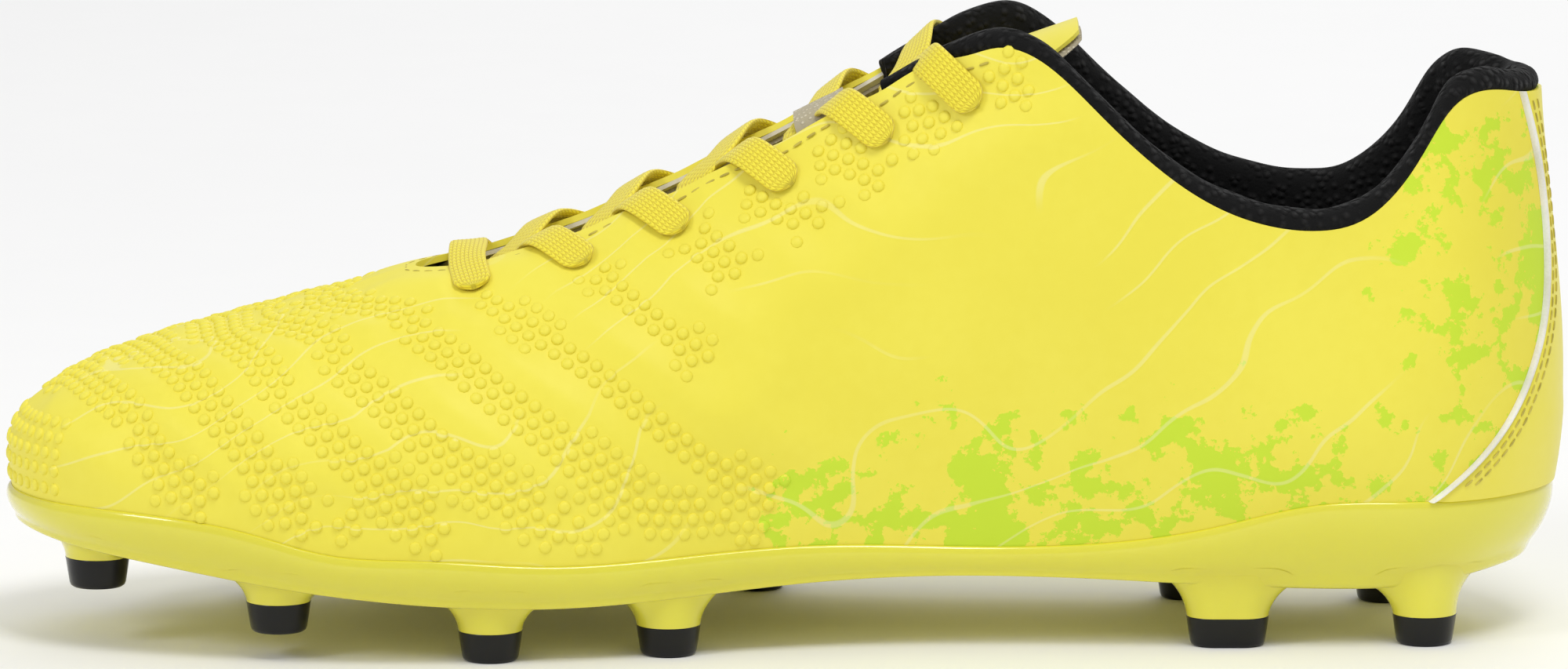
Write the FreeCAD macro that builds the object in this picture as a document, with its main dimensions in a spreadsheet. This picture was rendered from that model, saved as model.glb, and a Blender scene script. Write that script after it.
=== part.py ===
"""Right-foot soccer cleat as a FreeCAD document of separate pieces, in millimetres.

The shoe stands on its studs at z = 0.  X runs from the toe (-) to the heel (+), and Y from the medial
side (-) to the lateral side (+).  Lengthwise places are given as a distance t back from the toe tip.
"""
import FreeCAD, Part
import math
import os

Vector = FreeCAD.Vector
doc = FreeCAD.newDocument("soccer_cleat")

# ---------------------------------------------------------------------------------------------
# Driving dimensions
# ---------------------------------------------------------------------------------------------
DIMENSIONS = [
    ("shoe_length", 286.0, "toe tip to the back of the heel"),
    ("centre_shift", 0.22, "moves the shoe in x so that the heel panel and the toe lie evenly about x = 0"),
    ("side_shift", 1.74, "moves the shoe in y so that its widest points lie evenly about y = 0"),
    ("skin_thickness", 1.2, "synthetic upper"),
    ("lining_thickness", 0.8, "textile lining"),
    ("layer_gap", 0.1, "glue line between layers"),
    ("rim_thickness", 1.5, "wall of the plate that cups the upper"),
    ("plate_thickness", 2.4, "floor of the plate"),
    ("cup_slope", 0.5, "how far the cup leans in for each mm of its depth"),
    ("rim_inset", 1.8, "how far the upper tucks in at the rim, from its widest outline"),
    ("board_thickness", 1.6, "lasting board"),
    ("sockliner_thickness", 3.0, "loose insole"),
    ("board_clearance", 4.6, "from the outline to the board's edge"),
    ("stud_base_top_radius", 8.0, "moulded base where it meets the plate"),
    ("stud_base_bottom_radius", 5.9, "moulded base where the tip begins"),
    ("stud_tip_height", 5.7, "wearing tip"),
    ("stud_tip_top_radius", 5.5, "wearing tip at its base"),
    ("stud_tip_bottom_radius", 4.7, "wearing tip at the ground"),
    ("blade_length", 14.0, "bladed heel stud along the shoe"),
    ("blade_width", 9.0, "bladed heel stud across the shoe"),
    ("eyelet_radius", 2.3, "punched lace hole"),
    ("eyelet_edge", 8.5, "from the throat edge to the lace holes"),
    ("lace_width", 7.0, "flat lace"),
    ("lace_thickness", 1.1, "flat lace"),
    ("tongue_thickness", 3.2, "face, padding and lining of the tongue"),
    ("counter_thickness", 1.2, "heel stiffener"),
    ("piping_width", 1.2, "piping beside the heel panel"),
    ("panel_thickness", 0.6, "heel panel"),
    ("aglet_radius", 1.2, "lace tip"),
    ("aglet_length", 18.0, "lace tip"),
]
sheet = doc.addObject("Spreadsheet::Sheet", "sizes")
for row, (alias, value, note) in enumerate(DIMENSIONS, start=1):
    sheet.set(f"A{row}", note)
    sheet.set(f"B{row}", str(value))
    sheet.setAlias(f"B{row}", alias)
doc.recompute()


def size(alias):
    """Value of a driving dimension, in mm."""
    return float(sheet.get(alias))


# Widest plan outline of the shoe: t and y, heel to toe on each side.
OUTLINE_MEDIAL = [
    (286.0, 0.0), (284.0, -9.5), (279.0, -17.5), (271.0, -25.0), (260.0, -30.0), (245.0, -32.0),
    (225.0, -31.0), (205.0, -29.0), (185.0, -28.0), (168.0, -28.6), (150.0, -31.5), (130.0, -37.0),
    (112.0, -42.3), (95.0, -45.3), (75.0, -46.0), (55.0, -44.4), (38.0, -40.8), (22.0, -34.8),
    (10.0, -26.5), (3.0, -16.5), (0.0, -5.0),
]
OUTLINE_LATERAL = [
    (284.0, 9.5), (279.0, 17.5), (271.0, 25.2), (260.0, 31.0), (245.0, 33.2), (225.0, 34.2),
    (205.0, 34.4), (185.0, 35.4), (168.0, 37.3), (150.0, 41.0), (130.0, 45.5), (112.0, 48.6),
    (95.0, 49.3), (75.0, 46.2), (55.0, 41.2), (38.0, 35.2), (22.0, 26.8), (10.0, 16.8), (3.0, 6.8),
]
# Opening of the upper, one side: t of the outline below it, then its own t, distance from the middle, z.
OPENING = [
    (286.0, 281.3, 0.0, 100.0), (280.5, 277.4, 9.3, 100.3), (272.0, 270.2, 15.8, 101.3),
    (264.0, 263.2, 20.0, 97.0), (258.0, 257.8, 22.4, 88.4), (251.0, 250.8, 24.6, 80.6),
    (241.0, 241.0, 27.0, 77.4), (228.0, 228.0, 28.3, 79.3), (214.0, 214.0, 28.0, 86.6),
    (203.0, 202.0, 26.8, 97.0), (194.0, 192.5, 24.6, 106.0), (185.0, 183.5, 21.5, 110.1),
    (175.0, 173.0, 17.4, 107.9), (161.0, 160.0, 14.2, 101.2), (144.0, 143.5, 12.5, 92.3),
    (124.0, 124.0, 11.0, 82.8), (106.0, 107.5, 10.0, 75.6), (86.0, 93.0, 9.2, 70.6),
    (64.0, 83.5, 7.6, 68.2), (38.0, 78.2, 4.9, 67.3), (14.0, 76.3, 2.2, 67.0),
]
OPENING_FRONT = (76.0, 0.0, 67.0)
# Shape of the walls: t, then how far the lower and upper handles stand out and reach up or down.
WALLS = [
    (286.0, 4.6, 24.0, 1.2, 22.0), (262.0, 6.0, 21.0, 3.0, 22.0), (241.0, 7.0, 17.0, 2.5, 17.0),
    (210.0, 7.0, 22.0, 4.5, 20.0), (187.0, 8.0, 33.0, 8.0, 25.0), (160.0, 7.0, 34.0, 12.0, 15.0),
    (130.0, 5.0, 30.0, 15.0, 10.0), (100.0, 3.5, 27.0, 18.0, 6.5), (76.0, 3.5, 26.0, 22.0, 6.0),
    (50.0, 3.2, 26.0, 28.0, 8.0), (20.0, 3.0, 26.0, 40.0, 12.5), (0.0, 3.6, 26.0, 48.0, 14.5),
]
# Height of the plate: t, lower edge, rim.
PLATE_HEIGHTS = [
    (286.0, 14.6, 27.8), (270.0, 13.2, 27.8), (255.0, 11.9, 28.0), (240.0, 11.9, 27.6),
    (222.0, 12.8, 23.4), (205.0, 13.9, 20.4), (175.0, 14.8, 19.4), (148.0, 14.0, 20.2),
    (122.0, 12.2, 19.2), (100.0, 11.4, 18.7), (80.0, 12.1, 19.9), (60.0, 13.9, 21.0),
    (47.0, 15.2, 24.2), (26.0, 18.2, 27.0), (10.0, 20.6, 27.3), (0.0, 22.4, 27.4),
]
SPINE_FRONT = 76.0
SPINE_BACK = 258.0
HALF_LENGTH = size("shoe_length") / 2 + size("centre_shift")
SIDE_SHIFT = size("side_shift")
SKIN = size("skin_thickness")
GAP = size("layer_gap")
LINING = size("lining_thickness")
RIM = size("rim_thickness")


class Spline:
    """Natural cubic spline through rows of (knot, value, value, ...)."""

    def __init__(self, rows):
        self.knots = [row[0] for row in rows]
        self.columns = [self._solve([row[k] for row in rows]) for k in range(1, len(rows[0]))]

    def _solve(self, values):
        knots = self.knots
        count = len(knots)
        steps = [knots[i + 1] - knots[i] for i in range(count - 1)]
        right = [0.0] * count
        upper = [0.0] * count
        for i in range(1, count - 1):
            before, after = steps[i - 1], steps[i]
            slope_change = (values[i + 1] - values[i]) / after - (values[i] - values[i - 1]) / before
            pivot = 2 * (before + after) - before * upper[i - 1]
            upper[i] = after / pivot
            right[i] = (6 * slope_change - before * right[i - 1]) / pivot
        bends = [0.0] * count
        for i in range(count - 2, 0, -1):
            bends[i] = right[i] - upper[i] * bends[i + 1]
        return values, bends

    def __call__(self, knot):
        knots = self.knots
        low, high = 0, len(knots) - 1
        while high - low > 1:
            middle = (low + high) // 2
            if knots[middle] > knot:
                high = middle
            else:
                low = middle
        step = knots[high] - knots[low]
        a = (knots[high] - knot) / step
        b = 1 - a
        result = []
        for values, bends in self.columns:
            bend = ((a ** 3 - a) * bends[low] + (b ** 3 - b) * bends[high]) * step ** 2 / 6
            result.append(a * values[low] + b * values[high] + bend)
        return result


def loop_spline(rows):
    """Spline round the shoe: the place p is 0 at the heel, 1 at the toe and 2 at the heel again."""
    rows = sorted(rows)
    before = [(row[0] - 2,) + tuple(row[1:]) for row in rows[-5:]]
    after = [(row[0] + 2,) + tuple(row[1:]) for row in rows[:5]]
    return Spline(before + rows + after)


def outline_rows():
    """Outline points with their place round the loop, by length along each side."""
    rows = []
    toe = OUTLINE_MEDIAL[-1]
    sides = (OUTLINE_MEDIAL, [OUTLINE_MEDIAL[0]] + OUTLINE_LATERAL + [toe])
    for side, points in enumerate(sides):
        lengths = [0.0]
        for a, b in zip(points, points[1:]):
            lengths.append(lengths[-1] + math.dist(a, b))
        for point, length in zip(points, lengths):
            share = length / lengths[-1]
            if side == 0:
                rows.append((share,) + point)
            elif 0 < share < 1:
                rows.append((2 - share,) + point)
    return rows


outline = loop_spline(outline_rows())


def place_of(side, t):
    """Place p on the loop where the outline of a side (-1 medial, +1 lateral) is at t."""
    heel, toe = (0.0, 1.0) if side < 0 else (2.0, 1.0)
    for _ in range(40):
        middle = (heel + toe) / 2
        if outline(middle)[0] > t:
            heel = middle
        else:
            toe = middle
    return (heel + toe) / 2


def both_sides(rows, mirrored=()):
    """Rows keyed by t as rows keyed by place, for both sides; mirrored columns change sign."""
    result = []
    for row in rows:
        ends = row[0] in (0.0, 286.0)
        for side in ((-1,) if ends else (-1, 1)):
            place = {286.0: 0.0, 0.0: 1.0}[row[0]] if ends else place_of(side, row[0])
            values = [side * v if k in mirrored else v for k, v in enumerate(row[1:])]
            result.append((place,) + tuple(values))
    return result


opening = loop_spline(both_sides(OPENING, mirrored=(1,)) + [(1.0,) + OPENING_FRONT])
walls = loop_spline(both_sides(WALLS))
plate_heights = loop_spline(both_sides(PLATE_HEIGHTS))
station_cache = {}


def station(place):
    """The shoe's section at a place: directions, base, handles and top, worked out once."""
    key = round(place % 2, 6)
    if key not in station_cache:
        t, y = outline(key)
        out = Vector(t - min(max(t, SPINE_FRONT), SPINE_BACK), y, 0)
        out.normalize()
        low_edge, rim = plate_heights(key)
        top_t, top_y, top_z = opening(key)
        stand1, reach1, stand2, reach2 = walls(key)
        widest = Vector(t - HALF_LENGTH, y - SIDE_SHIFT, 0)
        base = widest - out * size("rim_inset") + Vector(0, 0, rim)
        top = Vector(top_t - HALF_LENGTH, top_y - SIDE_SHIFT, top_z)
        handle1 = base + out * stand1 + Vector(0, 0, reach1)
        handle2 = top + out * stand2 - Vector(0, 0, reach2)
        depth = rim - low_edge
        foot = base - out * depth * size("cup_slope") - Vector(0, 0, depth)
        cup = base - out * depth * 0.08 - Vector(0, 0, depth * 0.55)
        station_cache[key] = (foot, cup, base, handle1, handle2, top)
    return station_cache[key]


def skin_point(place, rise):
    """Outer surface: rise is -1 at the plate's lower edge, 0 at its rim and 1 at the opening."""
    foot, cup, base, handle1, handle2, top = station(place)
    if rise < 0:
        a = -rise
        return base * (1 - a) ** 2 + cup * 2 * a * (1 - a) + foot * a ** 2
    a, b = 1 - rise, rise
    return base * a ** 3 + handle1 * 3 * a * a * b + handle2 * 3 * a * b * b + top * b ** 3


def inward(place, rise):
    """Unit vector from the outer surface towards the inside."""
    step_place, step_rise = 0.002, 0.01
    along = skin_point(place + step_place, rise) - skin_point(place - step_place, rise)
    low, high = rise - step_rise, rise + step_rise
    if rise <= 0:
        low, high = rise - step_rise, min(rise + step_rise, 0.0)
    if rise > 1 - step_rise:
        high = 1.0
    up = skin_point(place, high) - skin_point(place, low)
    normal = along.cross(up)
    normal.normalize()
    return normal


def layer_point(place, rise, depth):
    """A point at a depth under the outer surface; a negative depth stands proud of it."""
    return skin_point(place, rise) + inward(place, rise) * depth


def rise_below_edge(place, distance):
    """The rise at a distance down the surface from the opening's edge."""
    steps = 60
    length = 0.0
    last = skin_point(place, 1.0)
    for i in range(1, steps + 1):
        rise = 1 - i / steps
        point = skin_point(place, rise)
        stretch = (point - last).Length
        if length + stretch >= distance:
            return rise + (1 - (distance - length) / stretch) / steps
        length += stretch
        last = point
    return 0.0


def opening_place(side, t):
    """Place where the opening's own t is the given one, on a side."""
    heel, toe = (0.0, 1.0) if side < 0 else (2.0, 1.0)
    for _ in range(40):
        middle = (heel + toe) / 2
        if opening(middle)[0] > t:
            heel = middle
        else:
            toe = middle
    return (heel + toe) / 2


# ---------------------------------------------------------------------------------------------
# Solids from point grids
# ---------------------------------------------------------------------------------------------
def curve_through(points):
    """B-spline through points at evenly spaced parameters."""
    curve = Part.BSplineCurve()
    curve.interpolate(Points=list(points), Parameters=[float(i) for i in range(len(points))])
    return curve


def surface(grid):
    """B-spline surface through a grid of points: curves across it, then curves through their poles."""
    across = [curve_through(row) for row in grid]
    columns = zip(*[curve.getPoles() for curve in across])
    along = [curve_through(column) for column in columns]
    poles = [list(row) for row in zip(*[curve.getPoles() for curve in along])]
    first, second = along[0], across[0]
    result = Part.BSplineSurface()
    result.buildFromPolesMultsKnots(
        poles, first.getMultiplicities(), second.getMultiplicities(), first.getKnots(), second.getKnots(),
        False, False, first.Degree, second.Degree)
    return result


def solid_between(grid_a, grid_b):
    """Closed solid between two grids of the same size, with ruled sides."""
    first, second = surface(grid_a), surface(grid_b)
    faces = [first.toShape(), second.toShape()]
    u_low, u_high, v_low, v_high = first.bounds()
    other_u_low, other_u_high, other_v_low, other_v_high = second.bounds()
    for mine, other in ((u_low, other_u_low), (u_high, other_u_high)):
        faces.append(Part.makeRuledSurface(first.uIso(mine).toShape(), second.uIso(other).toShape(), 1))
    for mine, other in ((v_low, other_v_low), (v_high, other_v_high)):
        faces.append(Part.makeRuledSurface(first.vIso(mine).toShape(), second.vIso(other).toShape(), 1))
    shell = Part.makeCompound(faces)
    shell.sewShape(0.002)
    solid = Part.makeSolid(shell.Shells[0])
    if solid.Volume < 0:
        solid.reverse()
    return solid


def ring_solid(rises, outer_depth, inner_depth):
    """Closed band all round the shoe between two depths, with its seam at the back of the heel."""
    outer = surface(layer_grid(RING_PLACES, rises, outer_depth))
    inner = surface(layer_grid(RING_PLACES, rises, inner_depth))
    faces = [outer.toShape(), inner.toShape()]
    _, _, low, high = outer.bounds()
    _, _, inner_low, inner_high = inner.bounds()
    for mine, other in ((low, inner_low), (high, inner_high)):
        faces.append(Part.makeRuledSurface(outer.vIso(mine).toShape(), inner.vIso(other).toShape(), 1))
    shell = Part.makeCompound(faces)
    shell.sewShape(0.002)
    solid = Part.makeSolid(shell.Shells[0])
    if solid.Volume < 0:
        solid.reverse()
    return solid


def spread(low, high, count):
    """Evenly spaced values from low to high, both included."""
    return [low + (high - low) * i / (count - 1) for i in range(count)]


def layer_grid(places, rises, depth):
    """Grid of points at a depth; rises may be a list or a function of the place."""
    grid = []
    for place in places:
        row = rises(place) if callable(rises) else rises
        grid.append([layer_point(place, rise, depth) for rise in row])
    return grid


def layer_solid(places, rises, outer_depth, inner_depth):
    """A sheet of the shoe between two depths."""
    return solid_between(layer_grid(places, rises, outer_depth), layer_grid(places, rises, inner_depth))


def add_piece(label, shape):
    """A free-form piece as a document object of its own."""
    piece = doc.addObject("Part::Feature", label)
    piece.Label = label
    piece.Shape = shape
    piece.Placement = FreeCAD.Placement()
    pieces.append(piece)
    return piece


pieces = []
COLLAR_FRONT_T = 184.0
RING_PLACES = spread(0.0, 2.0, 97)
WALL_RISES = spread(-0.75, 1.0, 19)


# ---------------------------------------------------------------------------------------------
# Lace holes
# ---------------------------------------------------------------------------------------------
EYELET_T = [87.5, 106.0, 123.5, 143.0, 160.5, 176.5]


def eyelet_spots(side):
    """Place and rise of each lace hole on a side, from the front."""
    spots = []
    for t in EYELET_T:
        place = opening_place(side, t)
        spots.append((place, rise_below_edge(place, size("eyelet_edge"))))
    return spots


def eyelet_punches(side):
    """Cylinders that cut the lace holes of a side."""
    punches = []
    reach = 12.0
    for place, rise in eyelet_spots(side):
        direction = inward(place, rise)
        start = skin_point(place, rise) - direction * reach / 2
        punches.append(Part.makeCylinder(size("eyelet_radius"), reach, start, direction))
    return punches


def punched(shape, sides=(-1, 1)):
    """The shape with the lace holes of the given sides cut through."""
    for side in sides:
        for punch in eyelet_punches(side):
            shape = shape.cut(punch)
    return shape


# ---------------------------------------------------------------------------------------------
# Upper and the layers under it
# ---------------------------------------------------------------------------------------------
def build_upper():
    """The synthetic skin, one piece from the plate's cup to the collar and throat."""
    add_piece("upper", punched(ring_solid(WALL_RISES, 0.0, SKIN)))


def build_linings():
    """Vamp lining over the toes, and a quarter lining on each side behind it."""
    outer = SKIN + GAP + LINING + GAP
    inner = outer + LINING
    fore = spread(place_of(-1, 96.0), place_of(1, 96.0), 41)
    add_piece("vamp_lining", punched(layer_solid(fore, spread(-0.6, 0.97, 15), outer, inner)))
    for side, name in ((-1, "medial"), (1, "lateral")):
        back = opening_place(side, COLLAR_FRONT_T - 1.5)
        front = place_of(side, 97.0)
        wall = layer_solid(spread(back, front, 25), spread(-0.45, 0.97, 13), outer, inner)
        add_piece(f"quarter_lining_{name}", punched(wall, (side,)))


def build_eyestays():
    """Reinforcement strip under the lace holes of each side."""
    for side, name in ((-1, "medial"), (1, "lateral")):
        places = spread(opening_place(side, 182.0), opening_place(side, 82.0), 25)

        def strip(place):
            return spread(rise_below_edge(place, 15.0), 0.99, 5)

        shape = layer_solid(places, strip, SKIN + GAP, SKIN + GAP + LINING)
        add_piece(f"eyestay_{name}", punched(shape, (side,)))


def build_toe_puff():
    """Stiffener that keeps the toe box up, under the skin."""
    places = spread(place_of(-1, 30.0), place_of(1, 30.0), 25)
    add_piece("toe_puff", layer_solid(places, spread(0.0, 0.42, 9), SKIN + GAP, SKIN + GAP + LINING))


def build_heel_counter():
    """Stiff cup round the heel, under the skin."""
    places = spread(place_of(1, 222.0) - 2, place_of(-1, 222.0), 31)
    inner = SKIN + GAP + size("counter_thickness")
    add_piece("heel_counter", layer_solid(places, spread(-0.45, 0.55, 11), SKIN + GAP, inner))


# Line of the piping on one side: t and z, top to bottom.
PIPING_LINE = [
    (277.6, 99.5), (280.9, 86.0), (282.3, 72.0), (281.8, 59.0), (279.2, 49.5), (275.4, 42.0),
    (269.6, 35.2), (261.0, 28.4),
]


def spot_at(side, t, z):
    """Place and rise of the surface point of a side that is nearest to a given t and z."""
    heel = 0.0 if side < 0 else 2.0
    best = None
    span = 0.35
    centre_place, centre_rise, rise_span = heel - side * span / 2, 0.5, 0.5
    for _ in range(5):
        for i in range(-6, 7):
            place = centre_place + span / 2 * i / 6
            if (place - heel) * -side < 0:
                continue
            for k in range(-6, 7):
                rise = min(max(centre_rise + rise_span * k / 6, 0.0), 1.0)
                point = skin_point(place, rise)
                miss = math.hypot(point.x + HALF_LENGTH - t, point.z - z)
                if best is None or miss < best[0]:
                    best = (miss, place, rise)
        centre_place, centre_rise = best[1], best[2]
        span *= 0.35
        rise_span *= 0.35
    return best[1], best[2]


def piping_spline(side):
    """Place of the piping as a spline of the rise."""
    spots = [spot_at(side, t, z) for t, z in PIPING_LINE]
    spots[0] = (spots[0][0], 1.0)
    spots[-1] = (spots[-1][0], 0.0)
    rows = sorted((rise, place if place <= 1 else place - 2) for place, rise in spots)
    return Spline(rows)


def build_heel_panel():
    """Outer panel at the back of the heel, with the piping that closes its two edges."""
    edges = {side: piping_spline(side) for side in (-1, 1)}
    rises = spread(0.0, 1.0, 21)
    half_width = size("piping_width") / 2

    def shifted(side, rise, distance):
        place = edges[side](rise)[0]
        step = 0.001
        speed = (skin_point(place + step, rise) - skin_point(place - step, rise)).Length / (2 * step)
        return place + distance / speed

    def panel_grid(depth):
        grid = []
        for rise in rises:
            low = shifted(1, rise, half_width + GAP)
            high = shifted(-1, rise, -half_width - GAP)
            grid.append([layer_point(place, rise, depth) for place in spread(low, high, 15)])
        return grid

    proud = -GAP / 2 - size("panel_thickness")
    add_piece("heel_panel", solid_between(panel_grid(proud), panel_grid(-GAP / 2)))
    for side, name in ((-1, "medial"), (1, "lateral")):

        def piping_grid(depth):
            grid = []
            for rise in rises:
                low = shifted(side, rise, -half_width)
                high = shifted(side, rise, half_width)
                grid.append([layer_point(place, rise, depth) for place in spread(low, high, 4)])
            return grid

        add_piece(f"heel_piping_{name}", solid_between(piping_grid(-1.1), piping_grid(-GAP / 2)))


# ---------------------------------------------------------------------------------------------
# Collar
# ---------------------------------------------------------------------------------------------
def edge_point(place, depth, height):
    """A point near the opening's edge: height along the surface above it, depth towards the inside."""
    if height < 0:
        rise = rise_below_edge(place, -height)
        return layer_point(place, rise, depth)
    top = skin_point(place, 1.0)
    up = top - skin_point(place, 0.97)
    up.normalize()
    return top + up * height + inward(place, 1.0) * depth


# Sections of the collar as (depth, height) from the opening's edge, outside to inside.
COLLAR_COVER_OUTER = [(0.1, 0.15), (0.2, 1.6), (1.1, 3.1), (2.9, 3.7), (4.8, 3.0), (5.9, 0.8), (6.1, -4.0),
                      (5.4, -9.0), (4.2, -14.0), (3.7, -20.0), (3.6, -33.0), (3.6, -46.0)]
COLLAR_COVER_INNER = [(0.9, 0.15), (1.0, 1.2), (1.6, 2.4), (2.9, 2.9), (4.2, 2.3), (5.1, 0.4), (5.3, -3.8),
                      (4.6, -8.6), (3.4, -13.6), (2.9, -20.0), (2.8, -33.0), (2.8, -46.0)]
COLLAR_FOAM_OUTER = [(1.4, -10.5), (1.4, -6.0), (1.4, -2.0), (1.6, 0.6), (2.3, 2.0)]
COLLAR_FOAM_INNER = [(3.0, -10.5), (4.5, -6.0), (4.9, -2.0), (4.5, 0.6), (3.6, 2.0)]


def rest_depth(depth, height, fullness):
    """Depth of a collar point where the padding is thinned; nothing thins the plain lining below it."""
    if height < -12 or depth < 2.0:
        return depth
    return 2.0 + (depth - 2.0) * fullness


def build_collar():
    """Padded collar from one side of the throat, round the heel, to the other."""
    low = opening_place(1, COLLAR_FRONT_T) - 2
    high = opening_place(-1, COLLAR_FRONT_T)
    places = spread(low, high, 61)
    taper_length = 0.06
    thinnest = 0.5

    def grid(section):
        rows = []
        for place in places:
            from_end = min(place - low, high - place)
            fullness = thinnest + (1 - thinnest) * min(from_end / taper_length, 1.0)
            rows.append([edge_point(place, rest_depth(depth, height, fullness), height)
                         for depth, height in section])
        return rows

    add_piece("collar_lining", solid_between(grid(COLLAR_COVER_OUTER), grid(COLLAR_COVER_INNER)))
    add_piece("collar_foam", solid_between(grid(COLLAR_FOAM_OUTER), grid(COLLAR_FOAM_INNER)))


# ---------------------------------------------------------------------------------------------
# Tongue
# ---------------------------------------------------------------------------------------------
# Tongue along the shoe: t and z of its middle, half width, and how far its edges drop.
TONGUE = [
    (80.0, 62.4, 13.0, 3.2), (92.0, 66.6, 15.0, 6.0), (106.0, 72.0, 17.0, 7.2), (124.0, 80.2, 17.5, 9.2),
    (143.0, 89.4, 18.0, 11.0), (160.0, 98.0, 18.0, 11.8), (176.0, 105.2, 17.6, 8.8), (188.0, 109.4, 14.6, 5.0),
    (197.0, 112.5, 12.5, 3.2),
]
tongue_line = Spline(TONGUE)


def tongue_point(t, across, depth):
    """Point of the tongue at t, across from -1 to 1, at a depth under its face."""
    middle_z, half_width, drop = tongue_line(t)
    step = 0.5
    rise = tongue_line(min(t + step, 197.0))[0] - tongue_line(max(t - step, 80.0))[0]
    run = min(t + step, 197.0) - max(t - step, 80.0)
    lean = math.atan2(rise, run)
    z = middle_z - drop * across ** 2
    turn = math.atan2(2 * drop * across, half_width)
    normal = Vector(-math.sin(lean), math.sin(turn) * math.cos(lean), math.cos(turn) * math.cos(lean))
    normal.normalize()
    return Vector(t - HALF_LENGTH, across * half_width - SIDE_SHIFT, z) - normal * depth


def tongue_sheet(t_low, t_high, reach, outer_depth, inner_depth):
    """A layer of the tongue between two depths, out to a share of its half width."""
    stations = spread(t_low, t_high, 25)
    shares = spread(-reach, reach, 13)

    def grid(depth):
        return [[tongue_point(t, share, depth) for share in shares] for t in stations]

    return solid_between(grid(outer_depth), grid(inner_depth))


def build_tongue():
    """Face, padding and lining of the tongue, and the loop on it that holds the lace."""
    thickness = size("tongue_thickness")
    face = 0.9
    foam = thickness - 0.7
    add_piece("tongue_face", tongue_sheet(80.0, 197.0, 0.97, 0.0, face))
    add_piece("tongue_foam", tongue_sheet(96.0, 194.0, 0.9, face + GAP, foam))
    add_piece("tongue_lining", tongue_sheet(80.0, 197.0, 1.0, foam + GAP, thickness))
    add_piece("tongue_keeper", tongue_sheet(147.0, 156.0, 0.42, -4.6, -3.9))


# ---------------------------------------------------------------------------------------------
# Lace
# ---------------------------------------------------------------------------------------------
LACE = size("lace_thickness")
FLAP = SKIN + 2 * GAP + 2 * LINING


def ribbon(points, normals, width):
    """Flat lace along a line of points; its face looks along the normals."""
    half = LACE / 2
    tops, bottoms = [], []
    for i, (point, normal) in enumerate(zip(points, normals)):
        ahead = points[min(i + 1, len(points) - 1)] - points[max(i - 1, 0)]
        side = ahead.cross(normal)
        side.normalize()
        face = side.cross(ahead)
        face.normalize()
        shares = spread(-0.5, 0.5, 3)
        tops.append([point + side * width * share + face * half for share in shares])
        bottoms.append([point + side * width * share - face * half for share in shares])
    return solid_between(tops, bottoms)


def over_and_under(side, index):
    """Outside and inside points of the lace at a lace hole, with the outward direction."""
    place, rise = eyelet_spots(side)[index]
    inside = inward(place, rise)
    surface_point = skin_point(place, rise)
    over = surface_point - inside * (LACE / 2 + 0.15)
    under = surface_point + inside * (FLAP + LACE / 2 + 0.25)
    return over, under, -inside


def edge_over(side, t):
    """Lace point on top of the throat's edge, with the outward direction."""
    place = opening_place(side, t)
    outward = -inward(place, 0.985)
    return skin_point(place, 0.985) + outward * (LACE / 2 + 0.2), outward


def edge_under(side, t):
    """Lace point under the throat's edge, with the outward direction."""
    place = opening_place(side, t)
    outward = -inward(place, 0.97)
    return skin_point(place, 0.97) - outward * (FLAP + LACE / 2 + 0.3), outward


def hole_plug(side, index):
    """Lace gathered in a lace hole."""
    over, under, outward = over_and_under(side, index)
    start = over + outward * 0.2
    return Part.makeCylinder(1.7, (under - start).Length + 0.2, start, under - start)


def crossing(from_side, index, lift):
    """Lace from under one flap, over the other, to that side's next lace hole."""
    to_side = -from_side
    t_from = EYELET_T[index] + 7.0
    t_to = EYELET_T[index + 1] - 2.5
    low, low_out = edge_under(from_side, t_from - 1.0)
    high, high_out = edge_over(to_side, t_to)
    hole, _, hole_out = over_and_under(to_side, index + 1)
    middle_t = (t_from + t_to) / 2
    middle = tongue_point(middle_t, 0.0, -(LACE / 2 + 0.9 + lift))
    near_low = tongue_point(t_from, 0.3 * from_side, -(LACE / 2 + 0.5 + lift * 0.4))
    near_low_out = near_low - tongue_point(t_from, 0.3 * from_side, 0.0)
    near_low_out.normalize()
    beyond = hole + (hole - high) * 0.25
    points = [low, near_low, middle, high, hole, beyond]
    up = middle - tongue_point(middle_t, 0.0, 0.0)
    up.normalize()
    normals = [low_out, near_low_out, up, high_out, hole_out, hole_out]
    return ribbon(points, normals, size("lace_width"))


def under_run(side, index):
    """Lace under a flap, from a lace hole to where it comes out in the throat."""
    _, start, outward = over_and_under(side, index)
    end, end_out = edge_under(side, EYELET_T[index] + 6.0)
    return ribbon([start - (end - start) * 0.2, (start + end) * 0.5, end], [outward, outward, end_out], 5.0)


def build_lace():
    """One lace: a bar across the front holes, then five crossings, and both tails tucked inside."""
    bar_left, _, left_out = over_and_under(-1, 0)
    bar_right, _, right_out = over_and_under(1, 0)
    left_edge, left_edge_out = edge_over(-1, EYELET_T[0])
    right_edge, right_edge_out = edge_over(1, EYELET_T[0])
    middle = (left_edge + right_edge) * 0.5 + Vector(0, 0, 1.6)
    points = [bar_left, left_edge, middle, right_edge, bar_right]
    normals = [left_out, left_edge_out, Vector(0, 0, 1), right_edge_out, right_out]
    runs = [ribbon(points, normals, size("lace_width"))]
    for index in range(len(EYELET_T) - 1):
        runs.append(crossing(-1, index, 0.0))
        runs.append(crossing(1, index, LACE + 0.1))
        for side in (-1, 1):
            runs.append(under_run(side, index))
    for side in (-1, 1):
        for index in range(len(EYELET_T)):
            runs.append(hole_plug(side, index))
        runs.append(tail(side))
    lace = runs[0].multiFuse(runs[1:])
    add_piece("lace", lace)


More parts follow.
